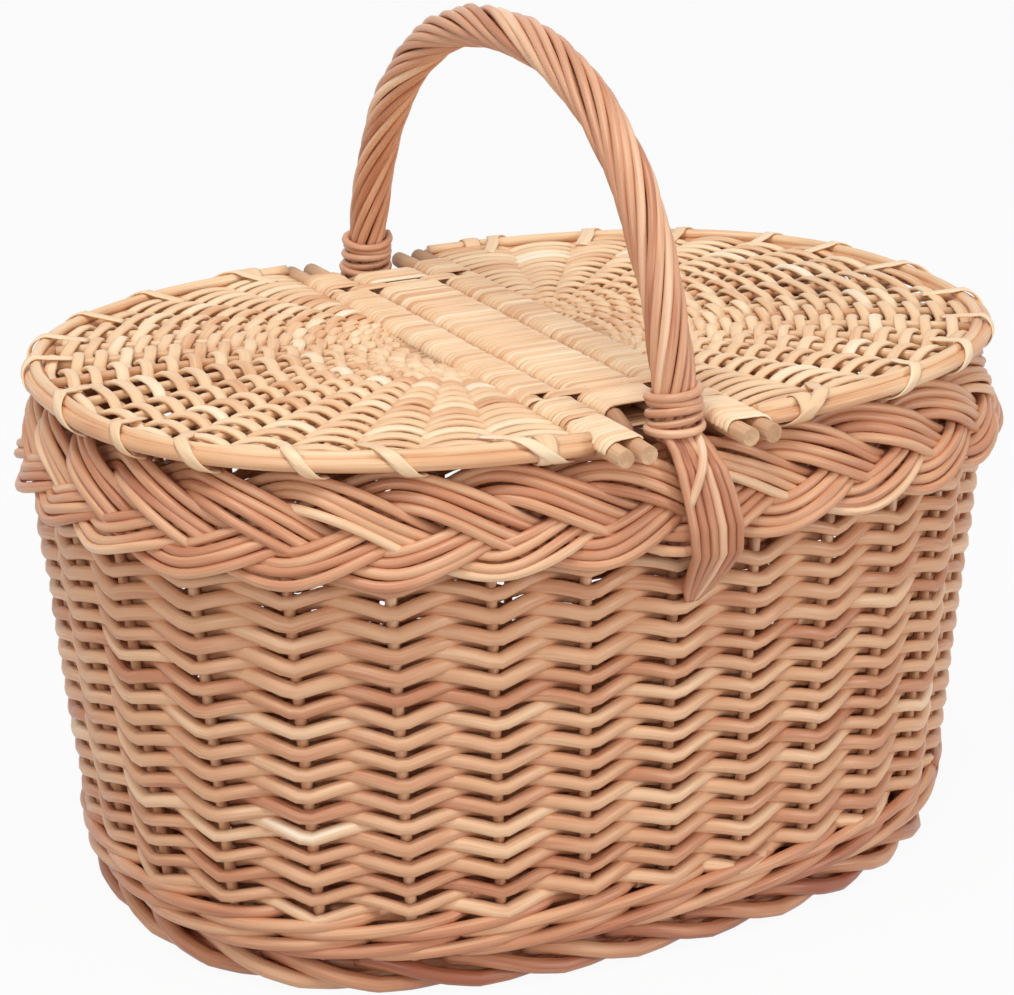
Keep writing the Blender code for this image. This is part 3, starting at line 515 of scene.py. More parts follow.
def make_side_weave():
    """The spiral starts a round early, at an odd step, so that every joint lies behind a stake."""
    pick = random.Random(7)
    rows = round((WALL_TOP - WEAVE_LOW - WEAVER) / ROW_PITCH)
    rise = (WALL_TOP - WEAVE_LOW - WEAVER) / rows
    low = WEAVE_LOW + WEAVER / 2
    last = rows * STAKE_PLACES
    rods = []
    begin = -float(STAKE_PLACES)
    while begin < last:
        end = min(last, begin + 2 * pick.randint(11, 16))
        dip = V_DEPTH * pick.uniform(0.86, 1.14)
        spaces = end - begin + 2 * WEAVER_TUCK
        count = int(spaces * SPACE_STEPS)
        path = [weave_point(begin - WEAVER_TUCK + spaces * k / count, low, rise, dip) for k in range(count + 1)]
        butt = WEAVER * pick.uniform(1.0, 1.10)
        thin_end = WEAVER * pick.uniform(0.74, 0.84)
        thick = [butt + (thin_end - butt) * k / count for k in range(count + 1)]
        rods.append(rod(path, thick, rod_tone(pick)))
        begin = end
    lay_rods("wall_weave", rods, BUFF, "basket", ["side_weave"])


make_side_weave()

# %% [markdown]
# The wall goes on behind the plaited rim, where such baskets often have a band of stouter rods. Closed
# waved rings, each set a little further in, fill it, so no gap shows when the lids are up.

# %% Top wale
TOP_RODS = 6
TOP_ROD, TOP_PITCH = 0.0060, 0.0046
TOP_INSET, TOP_LEAN = 0.0010, 0.0016
TOP_WAVE = 0.0018


def make_top_wale():
    pick = random.Random(9)
    rods = []
    count = STAKE_PLACES * SPACE_STEPS
    for row in range(TOP_RODS):
        inset = TOP_INSET + TOP_LEAN * row
        path = [wall_place(STAKE_PLACES * k / count, WALL_TOP,
                           -inset + TOP_WAVE * math.sin(math.pi * (k / 4 + row))) for k in range(count)]
        for point in path:
            point.z = WALL_TOP + 0.0008 + TOP_PITCH * row
        rods.append(rod(path, TOP_ROD * pick.uniform(0.95, 1.05), pick.gauss(0.42, 0.07), closed=True))
    lay_rods("wall_top_wale", rods, BUFF, "basket")


make_top_wale()

# %% [markdown]
# The stakes are upright rods pushed in beside the base sticks. They show only in the small gaps.

# %% Stakes
def make_stakes():
    pick = random.Random(11)
    rods = []
    for place in range(STAKE_PLACES):
        if place in (FRONT_FOOT, BACK_FOOT):
            continue
        path = [wall_place(place, FOOT_TOP + (WALL_TOP - FOOT_TOP) * k / 8) for k in range(9)]
        rods.append(rod(path, STAKE * pick.uniform(0.97, 1.03), pick.uniform(0.45, 0.75)))
    names = [f"stake_{number + 1:02d}" for number in range(STAKE_PLACES - 2)]
    lay_rods("wall_stakes", rods, BUFF, "basket", names)


make_stakes()

# %% [markdown]
# The wale is the strong band at the foot of the wall: three rods worked in turn, each in front of
# two stakes and behind the third, climbing over the other two as it goes.

# %% Wale
WALE_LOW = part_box("bottom_wale")[0].z
WALE_ROD = 0.0062
WALE_ROUNDS = 2
WALE_STRANDS = 3
WALE_RISE = (WEAVE_LOW + 0.0014 - WALE_LOW - WALE_ROD / 2) / WALE_ROUNDS
WALE_OUT, WALE_IN = (STAKE + WALE_ROD) * 0.60, (STAKE + WALE_ROD) * 0.50
WALE_LEVEL, WALE_STEP_UP = 0.93, 0.07
WALE_CLIMB, WALE_FALL = 0.70, 0.30
WALE_HEAP = 0.96


def wale_point(step, strand):
    """A point of one of three rods in a wale: out front for two stakes while it climbs, then behind one."""
    turn = ((step + strand + 0.5) % 3.0) / 3.0
    level = math.floor(step / STAKE_PLACES)
    level += max(0.0, step / STAKE_PLACES - level - WALE_LEVEL) / WALE_STEP_UP
    if turn < 2 / 3:
        out = WALE_OUT * math.sin(1.5 * math.pi * turn) ** 0.5
    else:
        out = -WALE_IN * math.sin(3 * math.pi * (turn - 2 / 3))
    climb = turn / WALE_CLIMB if turn < WALE_CLIMB else (1.0 - turn) / WALE_FALL
    z = WALE_LOW + WALE_ROD / 2 + WALE_RISE * (level + WALE_HEAP * climb)
    return wall_place(step + BACK_FOOT, z, out)


def make_wale():
    pick = random.Random(13)
    rods = []
    last = WALE_ROUNDS * STAKE_PLACES
    for strand in range(WALE_STRANDS):
        begin = pick.uniform(0.0, 2.0)
        while begin < last:
            end = min(last, begin + pick.uniform(20, 28))
            count = int((end - begin) * SPACE_STEPS)
            path = [wale_point(begin + (end - begin) * k / count, strand) for k in range(count + 1)]
            butt = WALE_ROD * pick.uniform(1.0, 1.08)
            thick = [butt * (1.0 - 0.14 * k / count) for k in range(count + 1)]
            rods.append(rod(path, thick, rod_tone(pick, 0.29, 0.12)))
            begin = end
    lay_rods("wall_wale", rods, BUFF, "basket", ["bottom_wale"])


make_wale()

# %% [markdown]
# The ring that the basket stands on is a rolled border: every stake's end is laid down to the right,
# over its neighbours and under the edge, so short thick rods follow each other round like a rope.
# Each stop of the route is a share of the rod's span, how far out it lies, and how high from 0 to 1.
# Four plain rings inside close the roll.

# %% Foot border
FOOT_ROD = 0.0080
FOOT_SPAN = 3.0
FOOT_STEPS = 33
FOOT_LOW, FOOT_HIGH = FOOT_ROD / 2 + 0.0001, FOOT_TOP - FOOT_ROD / 2 + 0.0018
FOOT_ROUTE = [(0.00, -0.0042, 1.00), (0.10, -0.0008, 1.00), (0.20, 0.0032, 0.86), (0.32, 0.0044, 0.46),
              (0.45, 0.0030, 0.10), (0.58, -0.0006, 0.00), (0.70, -0.0044, 0.00), (0.82, -0.0074, 0.16),
              (1.00, -0.0092, 0.60)]
FOOT_RINGS = ((0.0060, 0.0040), (0.0072, 0.0098), (0.0056, 0.0150), (0.0066, 0.0196))


def foot_point(start, gone):
    stops, outs, heights = zip(*FOOT_ROUTE)
    point = wall_place(start + FOOT_SPAN * gone, 0.0, float(np.interp(gone, stops, outs)))
    point.z = FOOT_LOW + (FOOT_HIGH - FOOT_LOW) * float(np.interp(gone, stops, heights))
    return point


def make_foot():
    pick = random.Random(17)
    rods = []
    for place in range(STAKE_PLACES):
        start = place + 0.30 + pick.uniform(-0.10, 0.10)
        path = [foot_point(start, k / FOOT_STEPS) for k in range(FOOT_STEPS + 1)]
        size = FOOT_ROD * pick.uniform(0.94, 1.0)
        thick = [size * (1.0 - 0.20 * k / FOOT_STEPS) for k in range(FOOT_STEPS + 1)]
        rods.append(rod(path, thick, rod_tone(pick, 0.22)))
    for inset, height in FOOT_RINGS:
        path = [point + UP * height for point in wall_ring(120, 0.0, inset)]
        rods.append(rod(path, FOOT_ROD * 0.8, 0.28, closed=True))
    lay_rods("foot_roll", rods, BUFF, "basket", ["foot_border"])


make_foot()

# %% [markdown]
# The rim is a flat plait of four strands, and each strand is four rods side by side. A strand swings
# in long straight runs: on its way out and down it lies over two strands and dives under a third, and
# on its way back it comes up over one and goes under two. So the lower edge shows sweeps that rise
# to the right and are tucked in under the next strand. The rods of a strand lie side by side, the
# middle ones a little proud, and each wanders by half a millimetre or so.

# %% Plaited border
BORDER_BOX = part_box("border_strand_1")
BORDER_Z = (BORDER_BOX[0].z + BORDER_BOX[1].z) / 2
BORDER_TOP = BORDER_BOX[1].z
BORDER_HALF_LENGTH, BORDER_HALF_WIDTH = TOP_HALF_LENGTH + 0.0023, TOP_HALF_WIDTH + 0.0060
PLAIT_HALF_WIDTH, PLAIT_HALF_DEPTH = 0.0156, 0.0041
PLAIT_SHARPNESS = 0.90
PLAIT_TILT = math.radians(64.0)
PLAIT_REPEATS = 7
PLAIT_STEPS = 42
STRANDS, CAD_STRANDS = 4, 3
STRAND_RODS = 4
BORDER_ROD = 0.0047
BORDER_SPACING = 0.0044
BORDER_CROWN = 0.0008


def plait_point(share, across, lift):
    """A point of the border by its share of the way round and its place in the plait's section."""
    middle = oval(round_angle(share), BORDER_HALF_LENGTH, BORDER_HALF_WIDTH)
    outward = oval_outward(middle, BORDER_HALF_LENGTH, BORDER_HALF_WIDTH)
    out = across * math.cos(PLAIT_TILT) + lift * math.sin(PLAIT_TILT)
    point = middle + outward * out
    point.z = BORDER_Z + lift * math.cos(PLAIT_TILT) - across * math.sin(PLAIT_TILT)
    normal = outward * math.sin(PLAIT_TILT) + Vector((0.0, 0.0, math.cos(PLAIT_TILT)))
    return point, normal


def strand_line(strand, steps):
    """The middle line of one strand and the way out of the plait at each point."""
    middle, normals = [], []
    for step in range(steps):
        turn = 2 * math.pi * (step / PLAIT_STEPS + strand / STRANDS)
        swing = math.asin(PLAIT_SHARPNESS * math.sin(turn)) / math.asin(PLAIT_SHARPNESS)
        lift = 0.6 * math.cos(turn) - math.sin(2 * turn)
        point, normal = plait_point(step / steps, PLAIT_HALF_WIDTH * swing, PLAIT_HALF_DEPTH * lift)
        middle.append(point)
        normals.append(normal)
    return middle, normals


def make_border(strand):
    pick = random.Random(19 + strand)
    steps = PLAIT_STEPS * PLAIT_REPEATS
    middle, normals = strand_line(strand, steps)
    rods = []
    for index in range(STRAND_RODS):
        offset = (index - (STRAND_RODS - 1) / 2) * BORDER_SPACING
        proud = BORDER_CROWN * (1.0 - (2 * index / (STRAND_RODS - 1) - 1) ** 2)
        drift = pick.uniform(0.0, 2 * math.pi)
        path = []
        for step in range(steps):
            along = (middle[(step + 1) % steps] - middle[step - 1]).normalized()
            sideways = normals[step].cross(along).normalized()
            gone = 2 * math.pi * step / steps
            crown = proud + 0.0005 * math.sin(drift + 13 * gone)
            wander = 0.0006 * math.sin(drift + 7 * gone) + 0.0004 * math.sin(2 * drift + 23 * gone)
            path.append(middle[step] + sideways * (offset + wander) + normals[step] * crown)
        rods.append(rod(path, BORDER_ROD * pick.uniform(0.92, 1.04), pick.gauss(0.40, 0.08), closed=True))
    nodes = [f"border_strand_{strand + 1}"] if strand < CAD_STRANDS else []
    lay_rods(f"border_plait_{strand + 1}", rods, BUFF, "basket", nodes)


for strand_number in range(STRANDS):
    make_border(strand_number)

# %% [markdown]
# A flat skein is a strip split from a rod. Wound round two sticks it follows a path like a running
# track: a half circle round one stick, straight across, a half circle round the other, and back.

# %% Running track round two sticks
STICK = 0.0084
SKEIN = 0.0032
SKEIN_FLAT = 0.42
WOUND_RADIUS = STICK / 2 + 0.0008
TRACK_STEPS = 7
DECK_Z = (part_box("left_lid_inner_stick")[0].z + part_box("left_lid_inner_stick")[1].z) / 2
LOOP_YS = [(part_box(f"left_lid_hinge_loop_{end}")[0].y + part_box(f"left_lid_hinge_loop_{end}")[1].y) / 2
           for end in ("front", "back")]
LOOP_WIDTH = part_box("left_lid_hinge_loop_front")[1].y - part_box("left_lid_hinge_loop_front")[0].y


def stick_x(node):
    """Where a stick that runs along Y stands."""
    low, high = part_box(node)
    return (low.x + high.x) / 2


def track(first_x, second_x, y, radius, slant=0.0):
    """A closed path round two sticks and the direction away from them; slant shifts the far side."""
    path, out = [], []
    low_x, high_x = min(first_x, second_x), max(first_x, second_x)
    for centre, start in ((high_x, -90.0), (low_x, 90.0)):
        for k in range(TRACK_STEPS + 1):
            angle = math.radians(start + 180.0 * k / TRACK_STEPS)
            away = Vector((math.cos(angle), 0.0, math.sin(angle)))
            lean = slant * (centre + away.x * radius - low_x) / (high_x - low_x + 0.001)
            path.append(Vector((centre, y + lean, DECK_Z)) + away * radius)
            out.append(away)
    return path, out


def wound_skeins(pick, first_x, second_x, start_y, end_y, radius, tone, skip=()):
    """Skeins wound side by side round two sticks from start_y to end_y."""
    count = round((end_y - start_y) / SKEIN)
    pitch = (end_y - start_y) / count
    rods = []
    for index in range(count):
        y = start_y + (index + 0.5) * pitch
        if any(low < y < high for low, high in skip):
            continue
        path, out = track(first_x, second_x, y, radius + pick.uniform(-0.0003, 0.0003),
                          pick.uniform(-0.0006, 0.0006))
        rods.append(rod(path, pitch * pick.uniform(1.02, 1.16), pick.gauss(tone, 0.11), out, SKEIN_FLAT, True))
    return rods


def loop_gaps(margin):
    """The stretches of a stick where the hinge loops pass."""
    return [(y - LOOP_WIDTH / 2 - margin, y + LOOP_WIDTH / 2 + margin) for y in LOOP_YS]


print("deck height", round(DECK_Z, 4))

# %% [markdown]
# The bridge is the fixed band between the lids: two sticks across the basket, tucked under the rim
# at both ends, and wound together with skeins. Under the hinge loops the winding is narrower.

# %% Bridge
BRIDGE_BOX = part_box("bridge_band")
LEFT_STICK_X, RIGHT_STICK_X = stick_x("bridge_stick_left"), stick_x("bridge_stick_right")
BRIDGE_FRONT = BRIDGE_BOX[0].y - 0.0090
LOOP_INSET = 0.0046
BRIDGE_BEND = 0.121
BRIDGE_TUCK = ((0.0, 0.0), (0.30, 0.09), (0.48, 0.34), (0.70, 0.67), (1.0, 1.0))


def make_bridge():
    pick = random.Random(23)
    rods = wound_skeins(pick, LEFT_STICK_X, RIGHT_STICK_X, BRIDGE_FRONT, BRIDGE_BOX[1].y,
                        WOUND_RADIUS, 0.52, loop_gaps(0.0004))
    for y in LOOP_YS:
        rods += wound_skeins(pick, LEFT_STICK_X + LOOP_INSET, RIGHT_STICK_X - LOOP_INSET,
                             y - LOOP_WIDTH / 2, y + LOOP_WIDTH / 2, STICK / 2 + 0.0004, 0.50)
    lay_rods("bridge_skeins", rods, PALE, "basket", ["bridge_band"])


def make_bridge_sticks():
    """Two sticks that run straight under the skeins and bend down to tuck inside the border."""
    pick = random.Random(83)
    rods = []
    for name in ("bridge_stick_left", "bridge_stick_right"):
        low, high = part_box(name)
        end = Vector((high.y - 0.0022, low.z + STICK / 2 - 0.0004))
        half = [(BRIDGE_BEND + (end.x - BRIDGE_BEND) * out, DECK_Z + (end.y - DECK_Z) * down)
                for out, down in BRIDGE_TUCK]
        x = stick_x(name)
        path = [Vector((x, -y, z)) for y, z in reversed(half)] + [Vector((x, y, z)) for y, z in half]
        rods.append(rod(path, STICK, pick.uniform(0.4, 0.7)))
    lay_rods("bridge_sticks", rods, STICK_WOOD, "basket",
             ["bridge_stick_left", "bridge_stick_right"], sides=12)


make_bridge()
make_bridge_sticks()

# %% [markdown]
# Each lid hangs on two loops of skein, round the bridge's stick and the lid's own inner stick.

# %% Hinge loops
LOOP_SKEINS = 3


def make_loops():
    pick = random.Random(29)
    rods = []
    names = []
    for bridge_x, lid in ((LEFT_STICK_X, "left_lid"), (RIGHT_STICK_X, "right_lid")):
        names += [f"{lid}_hinge_loop_front", f"{lid}_hinge_loop_back"]
        for y in LOOP_YS:
            for k in range(LOOP_SKEINS):
                place = y + (k - 1) * LOOP_WIDTH / LOOP_SKEINS
                path, out = track(bridge_x, stick_x(f"{lid}_inner_stick"), place, STICK / 2 + 0.0009)
                rods.append(rod(path, LOOP_WIDTH / LOOP_SKEINS, pick.gauss(0.42, 0.08), out, 0.45, True))
    lay_rods("lid_loops", rods, PALE, "basket", names)


make_loops()

# %% [markdown]
# A lid is a fan. Stakes run from the middle of its straight edge to a hoop, and weavers go half way
# round, over one stake and under the next, from one end of the straight edge to the other. The
# weavers were soaked and pressed flat, so they are wide strips that just bend over each stake.

# %% Lid weave
HOOP_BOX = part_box("right_lid_hoop")
HOOP_REACH = HOOP_BOX[1].x - 0.0050
HOOP_WIDE = HOOP_BOX[1].y - 0.0050
HOOP_Z = (HOOP_BOX[0].z + HOOP_BOX[1].z) / 2
FAN_STAKES = 17
LID_RINGS = 29
LID_WEAVER = 0.0057
LID_STAKE = 0.0042
LID_FLAT = 0.42
LID_BEND = (LID_STAKE + LID_WEAVER * LID_FLAT) / 2 - 0.0003
LID_CORNER, LID_RIM_INSET = 0.0045, 0.0050
HEART_OUT, HEART_HALF_WIDTH = 0.004, 0.030
LID_SWELL = 0.0034
LID_DRIFT, LID_KINK = 0.0035, 0.010


def lid_name(side):
    return "left_lid" if side < 0 else "right_lid"


def lid_edge(side, part, inset):
    """A point on the hoop's line: part runs from 0 at the front corner to 1 at the back one."""
    length, width = HOOP_REACH - inset, HOOP_WIDE - inset
    corner_x = abs(stick_x(f"{lid_name(side)}_outer_stick")) + LID_CORNER
    start, end = angle_at(corner_x, length, True), angle_at(corner_x, length, False)
    point = oval(start + (end - start) * part, length, width)
    return Vector((side * point.x, point.y, 0.0))


def lid_point(side, part, share, up=0.0):
    """A point of the lid between the middle of its straight edge and the hoop."""
    heart = Vector((stick_x(f"{lid_name(side)}_outer_stick") + side * HEART_OUT,
                    HEART_HALF_WIDTH * (2 * part - 1), 0.0))
    point = heart.lerp(lid_edge(side, part, LID_RIM_INSET), share)
    swell = LID_SWELL * 4 * share * (1 - share) * math.sin(math.pi * part)
    point.z = DECK_Z + 0.0003 + swell + up
    return point


def lid_weaver_path(side, row, wander):
    """Half way round the fan, over one stake and under the next, and pulled in a little at each."""
    share = 0.05 + 0.955 * (row + 0.5) / LID_RINGS
    steps = FAN_STAKES * SPACE_STEPS
    path = []
    for k in range(steps + 1):
        place = FAN_STAKES * k / steps
        near = abs(math.sin(math.pi * (place - int(place))))
        over = 1.0 if (int(place) + row) % 2 == 0 else -1.0
        drift = LID_DRIFT * math.sin(wander + 9.0 * k / steps)
        kink = LID_KINK * (near - 0.5)
        wave = LID_BEND * over * near ** 0.7 * min(1.0, 0.35 + 1.6 * share)
        path.append(lid_point(side, k / steps, share + drift - kink, wave))
    return path


def make_lid_weave(side):
    pick = random.Random(31 if side < 0 else 37)
    rods = []
    for row in range(LID_RINGS):
        path = lid_weaver_path(side, row, pick.uniform(0.0, 6.3))
        thick = LID_WEAVER * pick.uniform(0.90, 1.08)
        rods.append(rod(path, thick, rod_tone(pick, 0.50, 0.08), [UP] * len(path), LID_FLAT))
    for number in range(FAN_STAKES):
        part = (number + 0.5) / FAN_STAKES
        path = [lid_point(side, part, 0.02 + 0.98 * k / 10) for k in range(11)]
        rods.append(rod(path, [LID_STAKE * (0.75 + 0.3 * k / 10) for k in range(11)], pick.uniform(0.3, 0.6)))
    lay_rods(f"{lid_name(side)}_fan", rods, PALE, lid_name(side), [f"{lid_name(side)}_weave"])


for lid_side in (-1, 1):
    make_lid_weave(lid_side)

# %% [markdown]
# The straight edge of a lid is a roll: its two sticks wound together with fine skeins, all but
# where the hinge loops pass round the inner stick. The sticks stick out in front with sawn ends,
# and a few loose skeins lie over them there, cut off on a slant.

# %% Lid roll, flap and sticks
ROLL_HALF_RUN = 0.127
FLAP_SKEINS, FLAP_SKEIN, FLAP_FLAT = 10, 0.0034, 0.34
FLAP_FRONT, FLAP_SLANT = -0.1292, 0.16
FLAP_RISE, FLAP_ACROSS = 6, 9
STICK_STEPS = 24


def make_roll(side):
    lid = lid_name(side)
    pick = random.Random(43 if side < 0 else 47)
    inner, outer = stick_x(f"{lid}_inner_stick"), stick_x(f"{lid}_outer_stick")
    rods = wound_skeins(pick, inner, outer, -ROLL_HALF_RUN, ROLL_HALF_RUN, WOUND_RADIUS, 0.50,
                        loop_gaps(0.0007))
    for y in LOOP_YS:
        rods += wound_skeins(pick, outer, outer + side * 0.0004, y - LOOP_WIDTH / 2, y + LOOP_WIDTH / 2,
                             STICK / 2 + 0.0006, 0.50)
    lay_rods(f"{lid}_roll", rods, PALE, lid)


def flap_step(side, inner, outer, k):
    """Where step k of a loose skein stands: up round the outer stick, across, down round the inner."""
    if FLAP_RISE <= k < FLAP_ACROSS:
        return outer + (inner - outer) * (k - FLAP_RISE + 1) / 4, Vector((0.0, 0.0, 1.0))
    if k < FLAP_RISE:
        centre, angle = outer, math.radians(30.0 + 15.0 * k)
    else:
        centre, angle = inner, math.radians(90.0 + 13.0 * (k - FLAP_ACROSS))
    return centre, Vector((side * math.cos(angle), 0.0, math.sin(angle)))


def make_flap(side):
    """Loose skeins; the left lid opens further, so its skeins end sooner and clear the plait."""
    lid = lid_name(side)
    pick = random.Random(45 if side < 0 else 49)
    inner, outer = stick_x(f"{lid}_inner_stick"), stick_x(f"{lid}_outer_stick")
    last = 14 if side < 0 else 17
    rods = []
    for index in range(FLAP_SKEINS):
        y = FLAP_FRONT - SKEIN * index
        path, out = [], []
        for k in range(-2, last):
            centre, away = flap_step(side, inner, outer, k)
            lean = FLAP_SLANT * (centre + away.x * WOUND_RADIUS - inner) * side
            path.append(Vector((centre, y - lean + 0.0003 * math.sin(k + index), DECK_Z))
                        + away * WOUND_RADIUS)
            out.append(away)
        rods.append(rod(path, FLAP_SKEIN * pick.uniform(1.0, 1.1), pick.gauss(0.66, 0.12), out, FLAP_FLAT))
    lay_rods(f"{lid}_flap", rods, PALE, lid)


def make_sticks(side):
    """Two sticks that are straight inside the roll and a little crooked at their bare ends."""
    lid = lid_name(side)
    pick = random.Random(53 if side < 0 else 59)
    rods = []
    names = [f"{lid}_inner_stick", f"{lid}_outer_stick"]
    for node in names:
        low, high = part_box(node)
        path, thick = [], []
        bend = pick.uniform(0.0, 6.3)
        for k in range(STICK_STEPS + 1):
            y = low.y + (high.y - low.y) * k / STICK_STEPS
            loose = 1.0 if abs(y) > 0.128 else 0.0
            path.append(Vector((stick_x(node) + 0.0003 * math.sin(bend + 20 * y) * loose, y, DECK_Z)))
            sawn = 0.94 if k in (0, STICK_STEPS) else 1.0
            thick.append(STICK * (1.0 + 0.03 * math.sin(bend + 60 * y)) * sawn)
        rods.append(rod(path, thick, pick.uniform(0.55, 0.8)))
    lay_rods(f"{lid}_sticks", rods, STICK_WOOD, lid, names, sides=12)


for lid_side in (-1, 1):
    make_roll(lid_side)
    make_flap(lid_side)
    make_sticks(lid_side)

# %% [markdown]
# The hoop is a bundle of three rods, one above, one inside and one outside, so that it shows more
# than one line and more than one colour. Each wavers a little round the bundle's middle.

# %% Lid hoop
HOOP_RODS = ((100.0, 0.0052, 0.50), (215.0, 0.0058, 0.16), (345.0, 0.0060, 0.24))
HOOP_STEPS = 90
HOOP_BUNDLE = 0.0027
HOOP_NUDGE = 0.001


def hoop_frame(side, part):
    """A point on the hoop and the way out from it."""
    here = lid_edge(side, part, 0.0)
    here.z = HOOP_Z
    ahead = lid_edge(side, min(1.0, part + HOOP_NUDGE), 0.0)
    behind = lid_edge(side, max(0.0, part - HOOP_NUDGE), 0.0)
    away = (ahead - behind).normalized().cross(UP)
    if away.dot(here - Vector((0.0, 0.0, HOOP_Z))) < 0:
        away = -away
    return here, away


def make_hoop(side):
    """Each rod has its angle round the bundle in degrees, its thickness and its tone."""
    lid = lid_name(side)
    pick = random.Random(61 if side < 0 else 67)
    rods = []
    for turn, size, tone in HOOP_RODS:
        path = []
        for k in range(HOOP_STEPS + 1):
            here, away = hoop_frame(side, k / HOOP_STEPS)
            angle = math.radians(turn + 20.0 * math.sin(7.0 * k / HOOP_STEPS + turn))
            path.append(here + (away * math.cos(angle) + UP * math.sin(angle)) * HOOP_BUNDLE)
        rods.append(rod(path, size, tone + pick.uniform(-0.05, 0.05)))
    lay_rods(f"{lid}_rim", rods, PALE, lid, [f"{lid}_hoop"])


print("hoop height", round(HOOP_Z, 4))

# %% [markdown]
# Flat skeins bind the hoop to the weave. Each comes up from under the bundle, leans over it and runs
# a little way in, so from outside it reads as a leaning strip. A wide one closes each corner. The
# slant is a fixed run along the hoop, so the hoop's length is measured first.

# %% Bindings of the hoop
BINDINGS = 11
BINDING, BINDING_FLAT = 0.0064, 0.20
BINDING_RADIUS, BINDING_SLANT = 0.0058, 0.026
BINDING_STEPS, BINDING_OVER = 20, 14
CORNER_PARTS = (0.030, 0.970)
CORNER_BINDING, CORNER_FLAT, CORNER_RADIUS = 0.0088, 0.14, 0.0057


def make_bindings(side):
    lid = lid_name(side)
    pick = random.Random(71 if side < 0 else 73)
    line = [lid_edge(side, k / 200, 0.0) for k in range(201)]
    length = sum((after - here).length for here, after in zip(line, line[1:]))
    rods = []
    for index in range(BINDINGS):
        place = (index + 0.45 + pick.uniform(-0.08, 0.08)) / BINDINGS
        slant = BINDING_SLANT * pick.uniform(0.85, 1.15)
        path, out = [], []
        for k in range(BINDING_STEPS):
            part = place + slant * (k / (BINDING_STEPS - 1) - 0.5) / length
            here, away = hoop_frame(side, min(0.995, max(0.005, part)))
            if k < BINDING_OVER:
                angle = math.radians(-105.0 + 15.0 * k)
                away = away * math.cos(angle) + UP * math.sin(angle)
                path.append(here + away * BINDING_RADIUS)
                out.append(away)
            else:
                past = k - BINDING_OVER + 1
                path.append(here - away * (0.0030 + 0.0024 * past) + UP * (0.0054 - 0.0005 * past))
                out.append(UP)
        rods.append(rod(path, BINDING * pick.uniform(0.85, 1.15), pick.gauss(0.60, 0.09), out, BINDING_FLAT))
    for part in CORNER_PARTS:
        here, away = hoop_frame(side, part)
        turns = [math.radians(18.0 * k) for k in range(20)]
        out = [away * math.cos(turn) + UP * math.sin(turn) for turn in turns]
        path = [here + way * CORNER_RADIUS for way in out]
        rods.append(rod(path, CORNER_BINDING, 0.52, out, CORNER_FLAT, True))
    lay_rods(f"{lid}_bindings", rods, PALE, lid)


for lid_side in (-1, 1):
    make_hoop(lid_side)
    make_bindings(lid_side)

# %% [markdown]
# The bow handle is a thick core rod pushed down through the border into the wall, with long thin
# rods roped round it. Their lay is long: they go once round in about sixteen centimetres.

# %% The bow's middle line
HANDLE_HALF_SPAN = 0.1465
HANDLE_TOP = 0.3808
HANDLE_POWER = 2.24
BOW_STEPS = 4000


def bow_point(turn):
    """A point on the bow's middle line, from 0 at the front to pi at the back."""
    y = -HANDLE_HALF_SPAN * signed_power(math.cos(turn), 2 / HANDLE_POWER)
    z = BORDER_Z + (HANDLE_TOP - BORDER_Z) * math.sin(turn) ** (2 / HANDLE_POWER)
    return Vector((HANDLE_X, y, z))


def bow_run(low_z, step):
    """Evenly spaced points of the bow above a height, front to back, and how far apart they are."""
    fine = [bow_point(math.pi * k / BOW_STEPS) for k in range(1, BOW_STEPS)]
    fine = np.array([tuple(p) for p in fine if p.z >= low_z])
    lengths = lengths_along(fine)
    count = round(lengths[-1] / step)
    at = np.linspace(0.0, lengths[-1], count + 1)
    run = [Vector([float(np.interp(a, lengths, fine[:, i])) for i in range(3)]) for a in at]
    return run, lengths[-1] / count


def round_bow(along, angle):
    """Straight out of the bow at an angle round it, where it runs along a direction."""
    side = Vector((1.0, 0.0, 0.0))
    return side * math.cos(angle) + along.cross(side).normalized() * math.sin(angle)


print("bow", round(2 * HANDLE_HALF_SPAN * 1000), "mm wide, top at", round(HANDLE_TOP * 1000), "mm")

# %% [markdown]
# Eleven rods are roped round the core side by side. Each wavers a little on its way, and they all
# draw in near the feet, where the lashings hold them.

# %% Roping and core
ROPE_RADIUS = 0.0095
ROPE_LAY = 0.1650
ROPE_ROD = 0.0042
ROPE_RODS = 11
ROPE_STEP = 0.0045
ROPE_DRAW_IN, ROPE_DRAW_LENGTH = 0.0010, 0.020
CORE_THICK, CORE_THIN = 0.0090, 0.0052


def make_roping():
    pick = random.Random(79)
    run, step = bow_run(BORDER_TOP + 0.0004, ROPE_STEP)
    last = len(run) - 1
    alongs = [(run[min(k + 1, last)] - run[max(k - 1, 0)]).normalized() for k in range(len(run))]
    rods = []
    for number in range(ROPE_RODS):
        path = []
        own = pick.uniform(0.0, 6.3)
        for index, point in enumerate(run):
            angle = 2 * math.pi * (number / ROPE_RODS + index * step / ROPE_LAY)
            angle += 0.10 * math.sin(own + 9.0 * index / len(run))
            radius = ROPE_RADIUS - ROPE_ROD / 2 + 0.0004 * math.sin(own * 2 + 14.0 * index / len(run))
            radius -= ROPE_DRAW_IN * math.exp(-min(index, last - index) * step / ROPE_DRAW_LENGTH)
            path.append(point + round_bow(alongs[index], angle) * radius)
        size = ROPE_ROD * pick.uniform(0.90, 1.04)
        rods.append(rod(path, size, rod_tone(pick, 0.46, 0.12)))
    lay_rods("bow_roping", rods, BROWN, "basket", ["handle_roping"])


